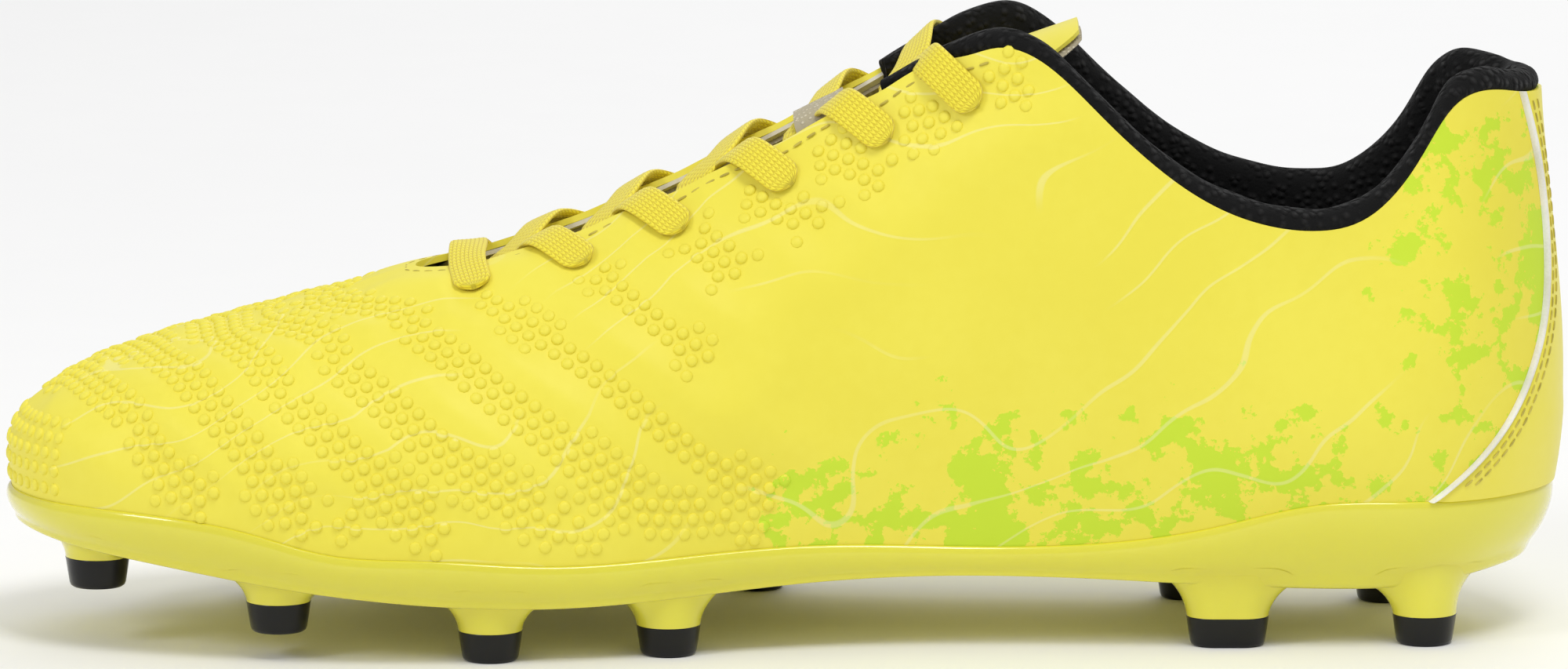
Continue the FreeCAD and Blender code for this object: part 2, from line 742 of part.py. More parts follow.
def tail_points(side):
    """Tail of the lace inside the shoe, from the last lace hole down between tongue and lining."""
    _, start, outward = over_and_under(side, len(EYELET_T) - 1)
    place, _ = eyelet_spots(side)[-1]
    points = [start]
    for distance, clearance in ((22.0, 1.6), (34.0, 1.7), (46.0, 3.4)):
        rise = rise_below_edge(place, distance)
        points.append(layer_point(place, rise, FLAP + LACE / 2 + clearance))
    return points, outward


def tail(side):
    """The lace's tail as a flat run."""
    points, outward = tail_points(side)
    return ribbon(points, [outward] * len(points), 5.0)


def build_aglets():
    """Stiff tips on the two ends of the lace, bound to the sheet."""
    for side, name in ((-1, "medial"), (1, "lateral")):
        points, _ = tail_points(side)
        direction = points[-1] - points[-2]
        direction.normalize()
        aglet = doc.addObject("Part::Cylinder", f"aglet_{name}")
        aglet.Label = f"aglet_{name}"
        aglet.setExpression("Radius", "sizes.aglet_radius")
        aglet.setExpression("Height", "sizes.aglet_length")
        turn = FreeCAD.Rotation(Vector(0, 0, 1), direction)
        aglet.Placement = FreeCAD.Placement(points[-1] + direction * 0.05, turn)
        pieces.append(aglet)


# ---------------------------------------------------------------------------------------------
# Plate, board and sockliner
# ---------------------------------------------------------------------------------------------
def floor_outline(extra_inset):
    """Closed plan outline of the floor, inset from the cup's foot."""
    points = []
    for place in spread(0.0, 2.0, 81)[:-1]:
        foot = station(place)[0]
        base = station(place)[2]
        out = base - foot
        out.z = 0
        out.normalize()
        point = foot - out * extra_inset
        points.append(Vector(point.x, point.y, 0))
    curve = Part.BSplineCurve()
    curve.interpolate(points, PeriodicFlag=True)
    return curve


def side_profile(lift, thickness):
    """Closed side profile of a floor layer: curved top and bottom, straight ends."""
    ends = (-HALF_LENGTH - 6.0, HALF_LENGTH + 6.0)
    rows = [(t, low) for t, low, rim in sorted(PLATE_HEIGHTS)]
    height = Spline(rows)
    places = [ends[0]] + spread(-HALF_LENGTH + 4, HALF_LENGTH - 4, 21) + [ends[1]]
    lines = []
    for z in (lift, lift + thickness):
        clamped = [min(max(x + HALF_LENGTH, 0.0), 286.0) for x in places]
        lines.append([Vector(x, 0, height(t)[0] + z) for x, t in zip(places, clamped)])
    return lines


def floor_layer(label, lift, thickness_alias, inset_alias):
    """A layer of the floor: its side profile across the shoe, kept within its plan outline."""
    thickness = size(thickness_alias)
    inset = size(inset_alias) if inset_alias else 0.0
    bottom, top = side_profile(lift, thickness)
    profile = doc.addObject("PartDesign::Body", f"{label}_profile")
    sketch = profile.newObject("Sketcher::SketchObject", f"{label}_side")
    plane = [f for f in profile.Origin.OriginFeatures if f.Role == "XZ_Plane"][0]
    sketch.AttachmentSupport = [(plane, "")]
    sketch.MapMode = "FlatFace"
    for line in (bottom, top):
        curve = Part.BSplineCurve()
        curve.interpolate([Vector(p.x, p.z, 0) for p in line])
        sketch.addGeometry(curve)
    for k in (0, -1):
        start = Vector(bottom[k].x, bottom[k].z, 0)
        end = Vector(top[k].x, top[k].z, 0)
        sketch.addGeometry(Part.LineSegment(start, end))
    pad = profile.newObject("PartDesign::Pad", f"{label}_width")
    pad.Profile = sketch
    pad.Midplane = True
    pad.Length = 160.0
    plan = doc.addObject("PartDesign::Body", f"{label}_plan")
    plan_sketch = plan.newObject("Sketcher::SketchObject", f"{label}_outline")
    plane = [f for f in plan.Origin.OriginFeatures if f.Role == "XY_Plane"][0]
    plan_sketch.AttachmentSupport = [(plane, "")]
    plan_sketch.MapMode = "FlatFace"
    plan_sketch.addGeometry(floor_outline(inset))
    plan_pad = plan.newObject("PartDesign::Pad", f"{label}_height")
    plan_pad.Profile = plan_sketch
    plan_pad.Length = 60.0
    common = doc.addObject("Part::Common", label)
    common.Base = profile
    common.Tool = plan
    common.Label = label
    return common


# Studs: name, t, y, height of the tip above the ground, bladed or round.
STUDS = [
    ("toe_medial", 18.4, -22.0, 11.0, False), ("toe_lateral", 20.0, 13.5, 11.0, False),
    ("fore_medial", 51.9, -34.0, 5.0, False), ("fore_lateral", 49.0, 29.0, 5.6, False),
    ("ball_medial", 90.3, -36.0, 0.0, False), ("ball_lateral", 78.2, 35.5, 0.0, False),
    ("mid_medial", 122.5, -30.5, 0.0, False), ("mid_lateral", 138.3, 33.5, 0.0, False),
    ("heel_front_medial", 224.4, -22.0, 0.0, True), ("heel_front_lateral", 220.5, 24.0, 0.0, True),
    ("heel_rear_medial", 260.4, -20.0, 0.0, False), ("heel_rear_lateral", 255.5, 22.0, 0.0, False),
]
floor_height = Spline([(t, low) for t, low, rim in sorted(PLATE_HEIGHTS)])


def stud_base(t, y, ground, bladed):
    """Flared base of a stud, moulded in one with the plate."""
    low = ground + size("stud_tip_height")
    high = floor_height(t)[0] + size("plate_thickness") / 2
    height = high - low
    x = t - HALF_LENGTH
    if not bladed:
        bottom, top = size("stud_base_bottom_radius"), size("stud_base_top_radius")
        return Part.makeCone(bottom, top, height, Vector(x, y, low))
    rings = []
    for grow, z in ((0.4, low), (2.4, high)):
        rings.append(blade_ring(x, y, z, grow))
    return Part.makeLoft(rings, True, True)


def blade_ring(x, y, z, grow):
    """Rounded outline of the bladed stud at a height, grown outwards."""
    radius = size("blade_width") / 2 + grow
    reach = (size("blade_length") - size("blade_width")) / 2
    front, back = Vector(x - reach, y, z), Vector(x + reach, y, z)
    side = Vector(0, radius, 0)
    ahead = Vector(radius, 0, 0)
    return Part.Wire([
        Part.LineSegment(front - side, back - side).toShape(),
        Part.Arc(back - side, back + ahead, back + side).toShape(),
        Part.LineSegment(back + side, front + side).toShape(),
        Part.Arc(front + side, front - ahead, front - side).toShape(),
    ])


def build_plate():
    """Moulded plate: floor, cup wall and the bases of the studs, in one piece."""
    cup = ring_solid(spread(-1.0, 0.0, 8), -RIM - GAP / 2, -GAP / 2)
    plate = plate_floor.Shape.copy()
    parts = [cup] + [stud_base(t, y, ground, bladed) for _, t, y, ground, bladed in STUDS]
    add_piece("outsole_plate", plate.multiFuse(parts).removeSplitter())


def build_stud_tips():
    """Hard wearing tip of each stud: a cone, or a tapered blade at the front of the heel."""
    for name, t, y, ground, bladed in STUDS:
        label = f"stud_tip_{name}"
        x = t - HALF_LENGTH
        if bladed:
            rings = [blade_ring(x, y, ground, -0.9), blade_ring(x, y, ground + size("stud_tip_height"), 0.0)]
            add_piece(label, Part.makeLoft(rings, True, True))
            continue
        cone = doc.addObject("Part::Cone", label)
        cone.Label = label
        cone.setExpression("Radius1", "sizes.stud_tip_bottom_radius")
        cone.setExpression("Radius2", "sizes.stud_tip_top_radius")
        cone.setExpression("Height", "sizes.stud_tip_height")
        cone.Placement = FreeCAD.Placement(Vector(x, y, ground), FreeCAD.Rotation())
        pieces.append(cone)


# ---------------------------------------------------------------------------------------------
# Build everything, check it and write it
# ---------------------------------------------------------------------------------------------
board_lift = size("plate_thickness") + 0.3
sock_lift = board_lift + size("board_thickness") + GAP
plate_floor = floor_layer("plate_floor", 0.0, "plate_thickness", None)
insole_board = floor_layer("insole_board", board_lift, "board_thickness", "board_clearance")
sockliner = floor_layer("sockliner", sock_lift, "sockliner_thickness", "board_clearance")
doc.recompute()
pieces += [insole_board, sockliner]
build_plate()
build_stud_tips()
build_upper()
build_linings()
build_eyestays()
build_toe_puff()
build_heel_counter()
build_heel_panel()
build_collar()
build_tongue()
build_lace()
build_aglets()
doc.recompute()

for item in doc.Objects:
    if {"Invalid", "Error"} & set(item.State):
        raise RuntimeError(f"{item.Label} did not recompute: {item.State}")
for piece in pieces:
    if piece.Shape.isNull() or not piece.Shape.isValid():
        raise RuntimeError(f"{piece.Label} has no valid shape")

whole = Part.makeCompound([piece.Shape for piece in pieces]).BoundBox
print(f"box x {whole.XMin:.2f} {whole.XMax:.2f}  y {whole.YMin:.2f} {whole.YMax:.2f}  "
      f"z {whole.ZMin:.2f} {whole.ZMax:.2f}  pieces {len(pieces)}")
os.makedirs("parts", exist_ok=True)
for piece in pieces:
    piece.Shape.exportStep(f"parts/{piece.Label}.step")
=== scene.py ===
"""Low-cut soccer cleat: fabric, skin, lace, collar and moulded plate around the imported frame."""
import itertools
import math

import bmesh
import bpy
import numpy as np
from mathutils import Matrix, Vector
from mathutils.bvhtree import BVHTree
from mathutils.kdtree import KDTree


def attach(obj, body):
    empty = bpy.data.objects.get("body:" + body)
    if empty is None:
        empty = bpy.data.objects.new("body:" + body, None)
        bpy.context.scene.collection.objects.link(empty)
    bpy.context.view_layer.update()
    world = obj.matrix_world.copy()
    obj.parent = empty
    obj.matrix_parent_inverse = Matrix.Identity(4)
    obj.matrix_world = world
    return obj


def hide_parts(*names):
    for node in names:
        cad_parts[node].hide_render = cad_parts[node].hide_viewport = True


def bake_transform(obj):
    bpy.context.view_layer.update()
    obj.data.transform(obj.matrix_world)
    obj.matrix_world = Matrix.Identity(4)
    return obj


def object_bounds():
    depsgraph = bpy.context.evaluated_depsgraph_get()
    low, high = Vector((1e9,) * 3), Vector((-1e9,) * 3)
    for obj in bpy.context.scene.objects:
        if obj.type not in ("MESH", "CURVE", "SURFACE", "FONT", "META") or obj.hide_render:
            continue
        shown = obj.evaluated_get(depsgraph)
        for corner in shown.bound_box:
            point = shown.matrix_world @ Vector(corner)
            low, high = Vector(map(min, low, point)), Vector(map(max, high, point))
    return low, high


bl_info = {
    "name": "Soccer Cleat",
    "version": (1, 0, 0),
    "blender": (4, 5, 0),
    "location": "View3D > Sidebar > Cleat",
    "description": "Builds a lace-up soccer cleat round its CAD frame",
    "category": "Add Mesh",
}

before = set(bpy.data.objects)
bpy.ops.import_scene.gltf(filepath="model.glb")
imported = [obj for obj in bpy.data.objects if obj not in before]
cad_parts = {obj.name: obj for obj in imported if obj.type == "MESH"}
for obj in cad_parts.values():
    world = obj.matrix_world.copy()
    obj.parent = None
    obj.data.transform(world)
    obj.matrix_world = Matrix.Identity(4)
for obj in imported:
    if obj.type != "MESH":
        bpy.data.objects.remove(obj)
CAD_LOW, CAD_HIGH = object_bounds()
MM = 0.001

# ---------------------------------------------------------------------------------------------
# Driving lines of the shoe, in millimetres: t runs from the toe (0) to the heel (286)
# ---------------------------------------------------------------------------------------------
SHOE_LENGTH = 286.0
HALF_LENGTH = SHOE_LENGTH / 2 + 0.22
SIDE_SHIFT = 1.74
RIM_INSET = 1.8
CUP_SLOPE = 0.5
SPINE_FRONT, SPINE_BACK = 76.0, 258.0
OUTLINE_MEDIAL = [
    (286.0, 0.0), (284.0, -9.5), (279.0, -17.5), (271.0, -25.0), (260.0, -30.0), (245.0, -32.0),
    (225.0, -31.0), (205.0, -29.0), (185.0, -28.0), (168.0, -28.6), (150.0, -31.5), (130.0, -37.0),
    (112.0, -42.3), (95.0, -45.3), (75.0, -46.0), (55.0, -44.4), (38.0, -40.8), (22.0, -34.8),
    (10.0, -26.5), (3.0, -16.5), (0.0, -5.0),
]
OUTLINE_LATERAL = [
    (284.0, 9.5), (279.0, 17.5), (271.0, 25.2), (260.0, 31.0), (245.0, 33.2), (225.0, 34.2),
    (205.0, 34.4), (185.0, 35.4), (168.0, 37.3), (150.0, 41.0), (130.0, 45.5), (112.0, 48.6),
    (95.0, 49.3), (75.0, 46.2), (55.0, 41.2), (38.0, 35.2), (22.0, 26.8), (10.0, 16.8), (3.0, 6.8),
]
# t of the outline below it, then the opening's own t, distance from the middle and height.
OPENING = [
    (286.0, 281.3, 0.0, 100.0), (280.5, 277.4, 9.3, 100.3), (272.0, 270.2, 15.8, 101.3),
    (264.0, 263.2, 20.0, 97.0), (258.0, 257.8, 22.4, 88.4), (251.0, 250.8, 24.6, 80.6),
    (241.0, 241.0, 27.0, 77.4), (228.0, 228.0, 28.3, 79.3), (214.0, 214.0, 28.0, 86.6),
    (203.0, 202.0, 26.8, 97.0), (194.0, 192.5, 24.6, 106.0), (185.0, 183.5, 21.5, 110.1),
    (175.0, 173.0, 17.4, 107.9), (161.0, 160.0, 14.2, 101.2), (144.0, 143.5, 12.5, 92.3),
    (124.0, 124.0, 11.0, 82.8), (106.0, 107.5, 10.0, 75.6), (86.0, 93.0, 9.2, 70.6),
    (64.0, 83.5, 7.6, 68.2), (38.0, 78.2, 4.9, 67.3), (14.0, 76.3, 2.2, 67.0),
]
OPENING_FRONT = (76.0, 0.0, 67.0)
# t, then how far the wall's lower and upper handles stand out and reach up or down.
WALLS = [
    (286.0, 4.6, 24.0, 1.2, 22.0), (262.0, 6.0, 21.0, 3.0, 22.0), (241.0, 7.0, 17.0, 2.5, 17.0),
    (210.0, 7.0, 22.0, 4.5, 20.0), (187.0, 8.0, 33.0, 8.0, 25.0), (160.0, 7.0, 34.0, 12.0, 15.0),
    (130.0, 5.0, 30.0, 15.0, 10.0), (100.0, 3.5, 27.0, 18.0, 6.5), (76.0, 3.5, 26.0, 22.0, 6.0),
    (50.0, 3.2, 26.0, 28.0, 8.0), (20.0, 3.0, 26.0, 40.0, 12.5), (0.0, 3.6, 26.0, 48.0, 14.5),
]
# t, height of the plate's lower edge and of its rim.
PLATE_HEIGHTS = [
    (286.0, 14.6, 27.8), (270.0, 13.2, 27.8), (255.0, 11.9, 28.0), (240.0, 11.9, 27.6),
    (222.0, 12.8, 23.4), (205.0, 13.9, 20.4), (175.0, 14.8, 19.4), (148.0, 14.0, 20.2),
    (122.0, 12.2, 19.2), (100.0, 11.4, 18.7), (80.0, 12.1, 19.9), (60.0, 13.9, 21.0),
    (47.0, 15.2, 24.2), (26.0, 18.2, 27.0), (10.0, 20.6, 27.3), (0.0, 22.4, 27.4),
]
# t and height of the piping on one side, top to bottom.
PIPING_LINE = [
    (277.6, 99.5), (280.9, 86.0), (282.3, 72.0), (281.8, 59.0), (279.2, 49.5), (275.4, 42.0),
    (269.6, 35.2), (261.0, 28.4),
]
# t, height of the middle, half width and drop of the edges.
TONGUE = [
    (80.0, 62.4, 13.0, 3.2), (92.0, 66.6, 15.0, 6.0), (106.0, 72.0, 17.0, 7.2), (124.0, 80.2, 17.5, 9.2),
    (143.0, 89.4, 18.0, 11.0), (160.0, 98.0, 18.0, 11.8), (176.0, 105.2, 17.6, 8.8),
    (188.0, 109.4, 14.6, 5.0), (197.0, 112.5, 12.5, 3.2),
]
EYELET_T = [87.5, 106.0, 123.5, 143.0, 160.5, 176.5]
# Rows of pressed dots as seen from the side: t and height of points on each row's middle line.
DOT_BANDS = [
    (3, [(8, 46), (14, 47), (20, 43), (25, 39), (28, 34), (31, 29), (35, 25), (40, 22)]),
    (3, [(22, 53), (26, 52), (33, 48), (38, 43), (43, 38), (47, 33), (51, 27), (56, 21), (61, 18)]),
    (3, [(37, 57), (40, 56), (46, 51), (51, 45), (56, 40), (61, 35), (68, 29), (74, 24), (79, 20), (84, 18)]),
    (3, [(49, 60), (56, 55), (62, 50), (67, 45), (73, 40), (80, 34), (88, 28), (94, 25), (99, 21),
         (104, 19)]),
    (3, [(63, 64), (71, 59), (76, 56), (81, 52), (88, 46), (94, 41), (100, 36), (106, 31), (112, 26),
         (119, 22)]),
    (2, [(88, 61), (93, 58), (99, 54), (105, 50), (111, 46), (117, 41), (123, 36), (129, 31), (135, 27),
         (142, 23)]),
    (2, [(108, 68), (111, 64), (116, 60), (121, 56), (126, 52), (130, 48)]),
    (3, [(124, 74), (128, 71), (132, 68), (135, 65)]),
    (3, [(137, 81), (142, 78), (147, 76), (150, 74)]),
    (3, [(149, 88), (155, 86), (162, 83)]),
    (3, [(163, 92), (170, 93), (178, 97), (187, 101)]),
    (4, [(100, 20), (108, 21), (117, 21), (126, 21), (134, 22), (141, 22)]),
    (2, [(62, 21), (68, 19), (75, 19), (83, 19)]),
]
# name, t, y, height of the tip above the ground, bladed or round, body it turns with.
STUDS = [
    ("toe_medial", 18.4, -22.0, 11.0, False, "forefoot"),
    ("toe_lateral", 20.0, 13.5, 11.0, False, "forefoot"),
    ("fore_medial", 51.9, -34.0, 5.0, False, "forefoot"),
    ("fore_lateral", 49.0, 29.0, 5.6, False, "forefoot"),
    ("ball_medial", 90.3, -36.0, 0.0, False, "rearfoot"),
    ("ball_lateral", 78.2, 35.5, 0.0, False, "rearfoot"),
    ("mid_medial", 122.5, -30.5, 0.0, False, "rearfoot"),
    ("mid_lateral", 138.3, 33.5, 0.0, False, "rearfoot"),
    ("heel_front_medial", 224.4, -22.0, 0.0, True, "rearfoot"),
    ("heel_front_lateral", 220.5, 24.0, 0.0, True, "rearfoot"),
    ("heel_rear_medial", 260.4, -20.0, 0.0, False, "rearfoot"),
    ("heel_rear_lateral", 255.5, 22.0, 0.0, False, "rearfoot"),
]
STUD_RADIUS = 5.9
BLADE_RADIUS = 5.0
BLADE_HALF_RUN = 2.6
TIP_HEIGHT = 5.7
PLATE_FLOOR = 2.4
# Thickness of the skin, depth and thickness of the linings, thickness of the whole flap at the lace holes.
SKIN = 1.2
LINING_DEPTH = 2.2
LINING = 0.8
FLAP = 3.0
# Distance of a lace hole from the throat's edge, its radius, and the flat ring round it.
HOLE_DOWN = 8.5
HOLE_RADIUS = 2.3
HOLE_RING = 4.2
# Nearest that two dots may be.
DOT_GAP = 2.42
COLLAR_FRONT_T = 161.0
# In front of this t the collar's lining is short, because the quarter lining takes over.
COLLAR_SHORT_T = 184.0
COLLAR_SHORT_REACH = 6.0


class Line:
    """Natural cubic spline through rows of (knot, value, ...), worked out for many knots at once."""

    def __init__(self, rows):
        table = np.array(sorted(rows), float)
        self.knots, self.values = table[:, 0], table[:, 1:]
        steps = np.diff(self.knots)
        matrix = np.eye(len(table))
        right = np.zeros_like(self.values)
        for i in range(1, len(table) - 1):
            before, after = steps[i - 1], steps[i]
            matrix[i, i - 1:i + 2] = before, 2 * (before + after), after
            ahead = (self.values[i + 1] - self.values[i]) / after
            right[i] = 6 * (ahead - (self.values[i] - self.values[i - 1]) / before)
        self.bends = np.linalg.solve(matrix, right)

    def __call__(self, knot):
        knot = np.asarray(knot, float)
        low = np.clip(np.searchsorted(self.knots, knot, side="right") - 1, 0, len(self.knots) - 2)
        step = (self.knots[low + 1] - self.knots[low])[..., None]
        a = (self.knots[low + 1] - knot)[..., None] / step
        b = 1 - a
        bend = (a ** 3 - a) * self.bends[low] + (b ** 3 - b) * self.bends[low + 1]
        return a * self.values[low] + b * self.values[low + 1] + bend * step ** 2 / 6


def loop_line(rows):
    """Line round the shoe: the place is 0 at the heel, 1 at the toe and 2 at the heel again."""
    rows = sorted(rows)
    before = [(row[0] - 2,) + tuple(row[1:]) for row in rows[-5:]]
    after = [(row[0] + 2,) + tuple(row[1:]) for row in rows[:5]]
    return Line(before + rows + after)


def outline_rows():
    """Outline points with their place round the loop, by length along each side."""
    rows = []
    sides = (OUTLINE_MEDIAL, [OUTLINE_MEDIAL[0]] + OUTLINE_LATERAL + [OUTLINE_MEDIAL[-1]])
    for side, points in enumerate(sides):
        steps = [math.dist(a, b) for a, b in zip(points, points[1:])]
        lengths = np.concatenate([[0.0], np.cumsum(steps)])
        for point, share in zip(points, lengths / lengths[-1]):
            if side == 0:
                rows.append((share,) + point)
            elif 0 < share < 1:
                rows.append((2 - share,) + point)
    return rows


outline = loop_line(outline_rows())


def place_on(line, side, t):
    """Place where a loop line's first value is t, on a side (-1 medial, +1 lateral)."""
    heel, toe = (0.0, 1.0) if side < 0 else (2.0, 1.0)
    for _ in range(30):
        middle = (heel + toe) / 2
        if line(middle)[0] > t:
            heel = middle
        else:
            toe = middle
    return (heel + toe) / 2


def both_sides(rows, mirrored=()):
    """Rows keyed by t as rows keyed by place, for both sides; mirrored columns change sign."""
    result = []
    for row in rows:
        ends = row[0] in (0.0, SHOE_LENGTH)
        for side in ((-1,) if ends else (-1, 1)):
            place = {SHOE_LENGTH: 0.0, 0.0: 1.0}[row[0]] if ends else place_on(outline, side, row[0])
            values = [side * v if k in mirrored else v for k, v in enumerate(row[1:])]
            result.append((place,) + tuple(values))
    return result


opening = loop_line(both_sides(OPENING, mirrored=(1,)) + [(1.0,) + OPENING_FRONT])
walls = loop_line(both_sides(WALLS))
plate_heights = loop_line(both_sides(PLATE_HEIGHTS))
floor_height = Line([(t, low) for t, low, _ in PLATE_HEIGHTS])
tongue_line = Line(TONGUE)


def joined(*columns):
    """Columns of numbers as points."""
    return np.stack(np.broadcast_arrays(*columns), axis=-1).astype(float)


def unit(vectors):
    """Vectors at length one."""
    return vectors / np.maximum(np.linalg.norm(vectors, axis=-1, keepdims=True), 1e-9)


def station(place):
    """The shoe's section at each place: foot and cup of the plate, base, handles and top of the wall."""
    place = np.asarray(place, float) % 2
    t, y = np.moveaxis(outline(place), -1, 0)
    flat = np.zeros_like(t)
    out = unit(joined(t - np.clip(t, SPINE_FRONT, SPINE_BACK), y, flat))
    low_edge, rim = np.moveaxis(plate_heights(place), -1, 0)
    top_t, top_y, top_z = np.moveaxis(opening(place), -1, 0)
    stand1, reach1, stand2, reach2 = np.moveaxis(walls(place)[..., None], -2, 0)
    up = np.array([0.0, 0.0, 1.0])
    base = joined(t - HALF_LENGTH, y - SIDE_SHIFT, rim) - out * RIM_INSET
    top = joined(top_t - HALF_LENGTH, top_y - SIDE_SHIFT, top_z)
    depth = (rim - low_edge)[..., None]
    foot = base - out * depth * CUP_SLOPE - up * depth
    cup = base - out * depth * 0.08 - up * depth * 0.55
    return foot, cup, base, base + out * stand1 + up * reach1, top + out * stand2 - up * reach2, top


def skin(place, rise):
    """Outer surface: rise is -1 at the plate's lower edge, 0 at its rim and 1 at the opening."""
    place, rise = np.broadcast_arrays(np.asarray(place, float), np.asarray(rise, float))
    foot, cup, base, handle1, handle2, top = station(place)
    a = -np.minimum(rise, 0)[..., None]
    below = base * (1 - a) ** 2 + cup * 2 * a * (1 - a) + foot * a ** 2
    b = np.maximum(rise, 0)[..., None]
    c = 1 - b
    above = base * c ** 3 + handle1 * 3 * c * c * b + handle2 * 3 * c * b * b + top * b ** 3
    return np.where(rise[..., None] < 0, below, above)


def inward(place, rise):
    """Unit vectors from the outer surface towards the inside."""
    place, rise = np.broadcast_arrays(np.asarray(place, float), np.asarray(rise, float))
    along = skin(place + 0.002, rise) - skin(place - 0.002, rise)
    high = np.where(rise <= 0, np.minimum(rise + 0.01, 0.0), np.minimum(rise + 0.01, 1.0))
    up = skin(place, high) - skin(place, rise - 0.01)
    return unit(np.cross(along, up))


def layer(place, rise, depth):
    """Points at a depth under the outer surface; a negative depth stands proud of it."""
    return skin(place, rise) + inward(place, rise) * np.asarray(depth, float)[..., None]


def below_edge(place, distance):
    """The rise at a distance down the surface from the opening's edge, for each place."""
    place, distance = np.broadcast_arrays(np.asarray(place, float), np.asarray(distance, float))
    rises = np.linspace(1, 0, 61)
    points = skin(place[..., None], rises)
    lengths = np.cumsum(np.linalg.norm(np.diff(points, axis=-2), axis=-1), axis=-1)
    lengths = np.concatenate([np.zeros(place.shape + (1,)), lengths], axis=-1)
    flat = [np.interp(d, row, rises) for d, row in zip(distance.ravel(), lengths.reshape(-1, 61))]
    return np.array(flat).reshape(place.shape)


def lace_hole(side, t):
    """Place and rise of the middle of a lace hole."""
    place = place_on(opening, side, t)
    return place, below_edge(place, HOLE_DOWN)


def opening_places(side, t_back, t_front, count):
    """Evenly spread places between two t of the opening, on one side."""
    return np.linspace(place_on(opening, side, t_back), place_on(opening, side, t_front), count)


# ---------------------------------------------------------------------------------------------
# Meshes
# ---------------------------------------------------------------------------------------------
def deselect():
    """Leaves nothing selected, so that an operator only touches the piece in hand."""
    for item in bpy.context.selected_objects:
        item.select_set(False)


def make_piece(name, points, faces, material, angle=40.0, uv=None):
    """A piece from points in millimetres: cleaned, faces outward, smooth up to an angle."""
    mesh = bpy.data.meshes.new(name)
    mesh.from_pydata((np.asarray(points, float).reshape(-1, 3) * MM).tolist(), [], faces)
    piece = bpy.data.objects.new(name, mesh)
    bpy.context.scene.collection.objects.link(piece)
    if uv is not None:
        layer_uv = mesh.uv_layers.new(name="UVMap")
        corners = np.zeros(len(mesh.loops), np.int32)
        mesh.loops.foreach_get("vertex_index", corners)
        layer_uv.data.foreach_set("uv", np.asarray(uv, float)[corners].ravel())
    work = bmesh.new()
    work.from_mesh(mesh)
    bmesh.ops.remove_doubles(work, verts=work.verts, dist=0.00001)
    bmesh.ops.recalc_face_normals(work, faces=work.faces)
    work.to_mesh(mesh)
    work.free()
    mesh.materials.append(material)
    smooth(piece, angle)
    return piece


def smooth(piece, angle):
    """Smooth shading, with edges sharper than the angle kept crisp."""
    deselect()
    piece.select_set(True)
    bpy.context.view_layer.objects.active = piece
    bpy.ops.object.shade_smooth_by_angle(angle=math.radians(angle))
    piece.select_set(False)


def quads(rows, columns, ring_rows=False, ring_columns=False, start=0):
    """Faces of a grid of points, closed round its rows or columns where asked."""
    i = np.arange(rows if ring_rows else rows - 1)[:, None]
    j = np.arange(columns if ring_columns else columns - 1)[None, :]
    corners = [start + ((i + a) % rows) * columns + (j + b) % columns
               for a, b in ((0, 0), (0, 1), (1, 1), (1, 0))]
    return np.stack(np.broadcast_arrays(*corners), -1).reshape(-1, 4).tolist()


def shell_faces(rows, columns, ring=False):
    """Faces of a closed shell made of two grids of the same size and the strips between their edges."""
    count = rows * columns
    faces = quads(rows, columns, ring) + quads(rows, columns, ring, start=count)
    last = rows if ring else rows - 1
    for j in (0, columns - 1):
        for i in range(last):
            a, b = i * columns + j, ((i + 1) % rows) * columns + j
            faces.append([a, b, b + count, a + count])
    if not ring:
        for i in (0, rows - 1):
            for j in range(columns - 1):
                a = i * columns + j
                faces.append([a, a + 1, a + 1 + count, a + count])
    return faces


def make_shell(name, outer, inner, material, ring=False, angle=40.0):
    """A closed piece between two grids of points."""
    rows, columns = outer.shape[:2]
    points = np.concatenate([outer.reshape(-1, 3), inner.reshape(-1, 3)])
    return make_piece(name, points, shell_faces(rows, columns, ring), material, angle)


def tree_of(piece):
    """Nearest-surface search on a piece, in metres."""
    vertices = [v.co for v in piece.data.vertices]
    return BVHTree.FromPolygons(vertices, [tuple(p.vertices) for p in piece.data.polygons])


def capsule(length, width, height, rings=5, around=6):
    """Points and faces of a small rounded stitch that lies along x."""
    points = []
    for i in range(rings):
        angle = math.pi * (i + 0.5) / rings
        for k in range(around):
            turn = 2 * math.pi * k / around
            points.append((-math.cos(angle) * length / 2, math.sin(angle) ** 0.5 * math.cos(turn) * width / 2,
                           math.sin(angle) ** 0.5 * math.sin(turn) * height / 2))
    faces = quads(rings, around, ring_columns=True)
    faces.append(list(range(around)))
    faces.append(list(range((rings - 1) * around, rings * around)))
    return np.array(points), faces


def dome(radius, height, around=9):
    """Points and faces of one pressed dot: a low dome with a crisp foot."""
    profile = [(1.0, -0.35), (0.97, 0.25), (0.8, 0.72), (0.42, 0.97)]
    turns = [2 * math.pi * k / around for k in range(around)]
    points = [(r * radius * math.cos(turn), r * radius * math.sin(turn), h * height)
              for r, h in profile for turn in turns]
    faces = quads(len(profile), around, ring_columns=True)
    faces.append(list(range((len(profile) - 1) * around, len(profile) * around)))
    faces.append(list(range(around)))
    return np.array(points), faces


def repeated(shape, spots):
    """Copies of a shape at spots of (origin, x axis, z axis, scale), as one set of points and faces."""
    base, base_faces = shape
    points, faces = [], []
    for origin, x_axis, z_axis, scale in spots:
        z_axis = np.asarray(z_axis, float) / np.linalg.norm(z_axis)
        x_axis = np.asarray(x_axis, float) - z_axis * np.dot(x_axis, z_axis)
        x_axis = x_axis / np.linalg.norm(x_axis)
        y_axis = np.cross(z_axis, x_axis)
        start = len(points) * len(base)
        scaled = base * np.asarray(scale, float)
        points.append(np.asarray(origin) + scaled @ np.stack([x_axis, y_axis, z_axis]))
        faces += [[start + v for v in face] for face in base_faces]
    return np.concatenate(points), faces


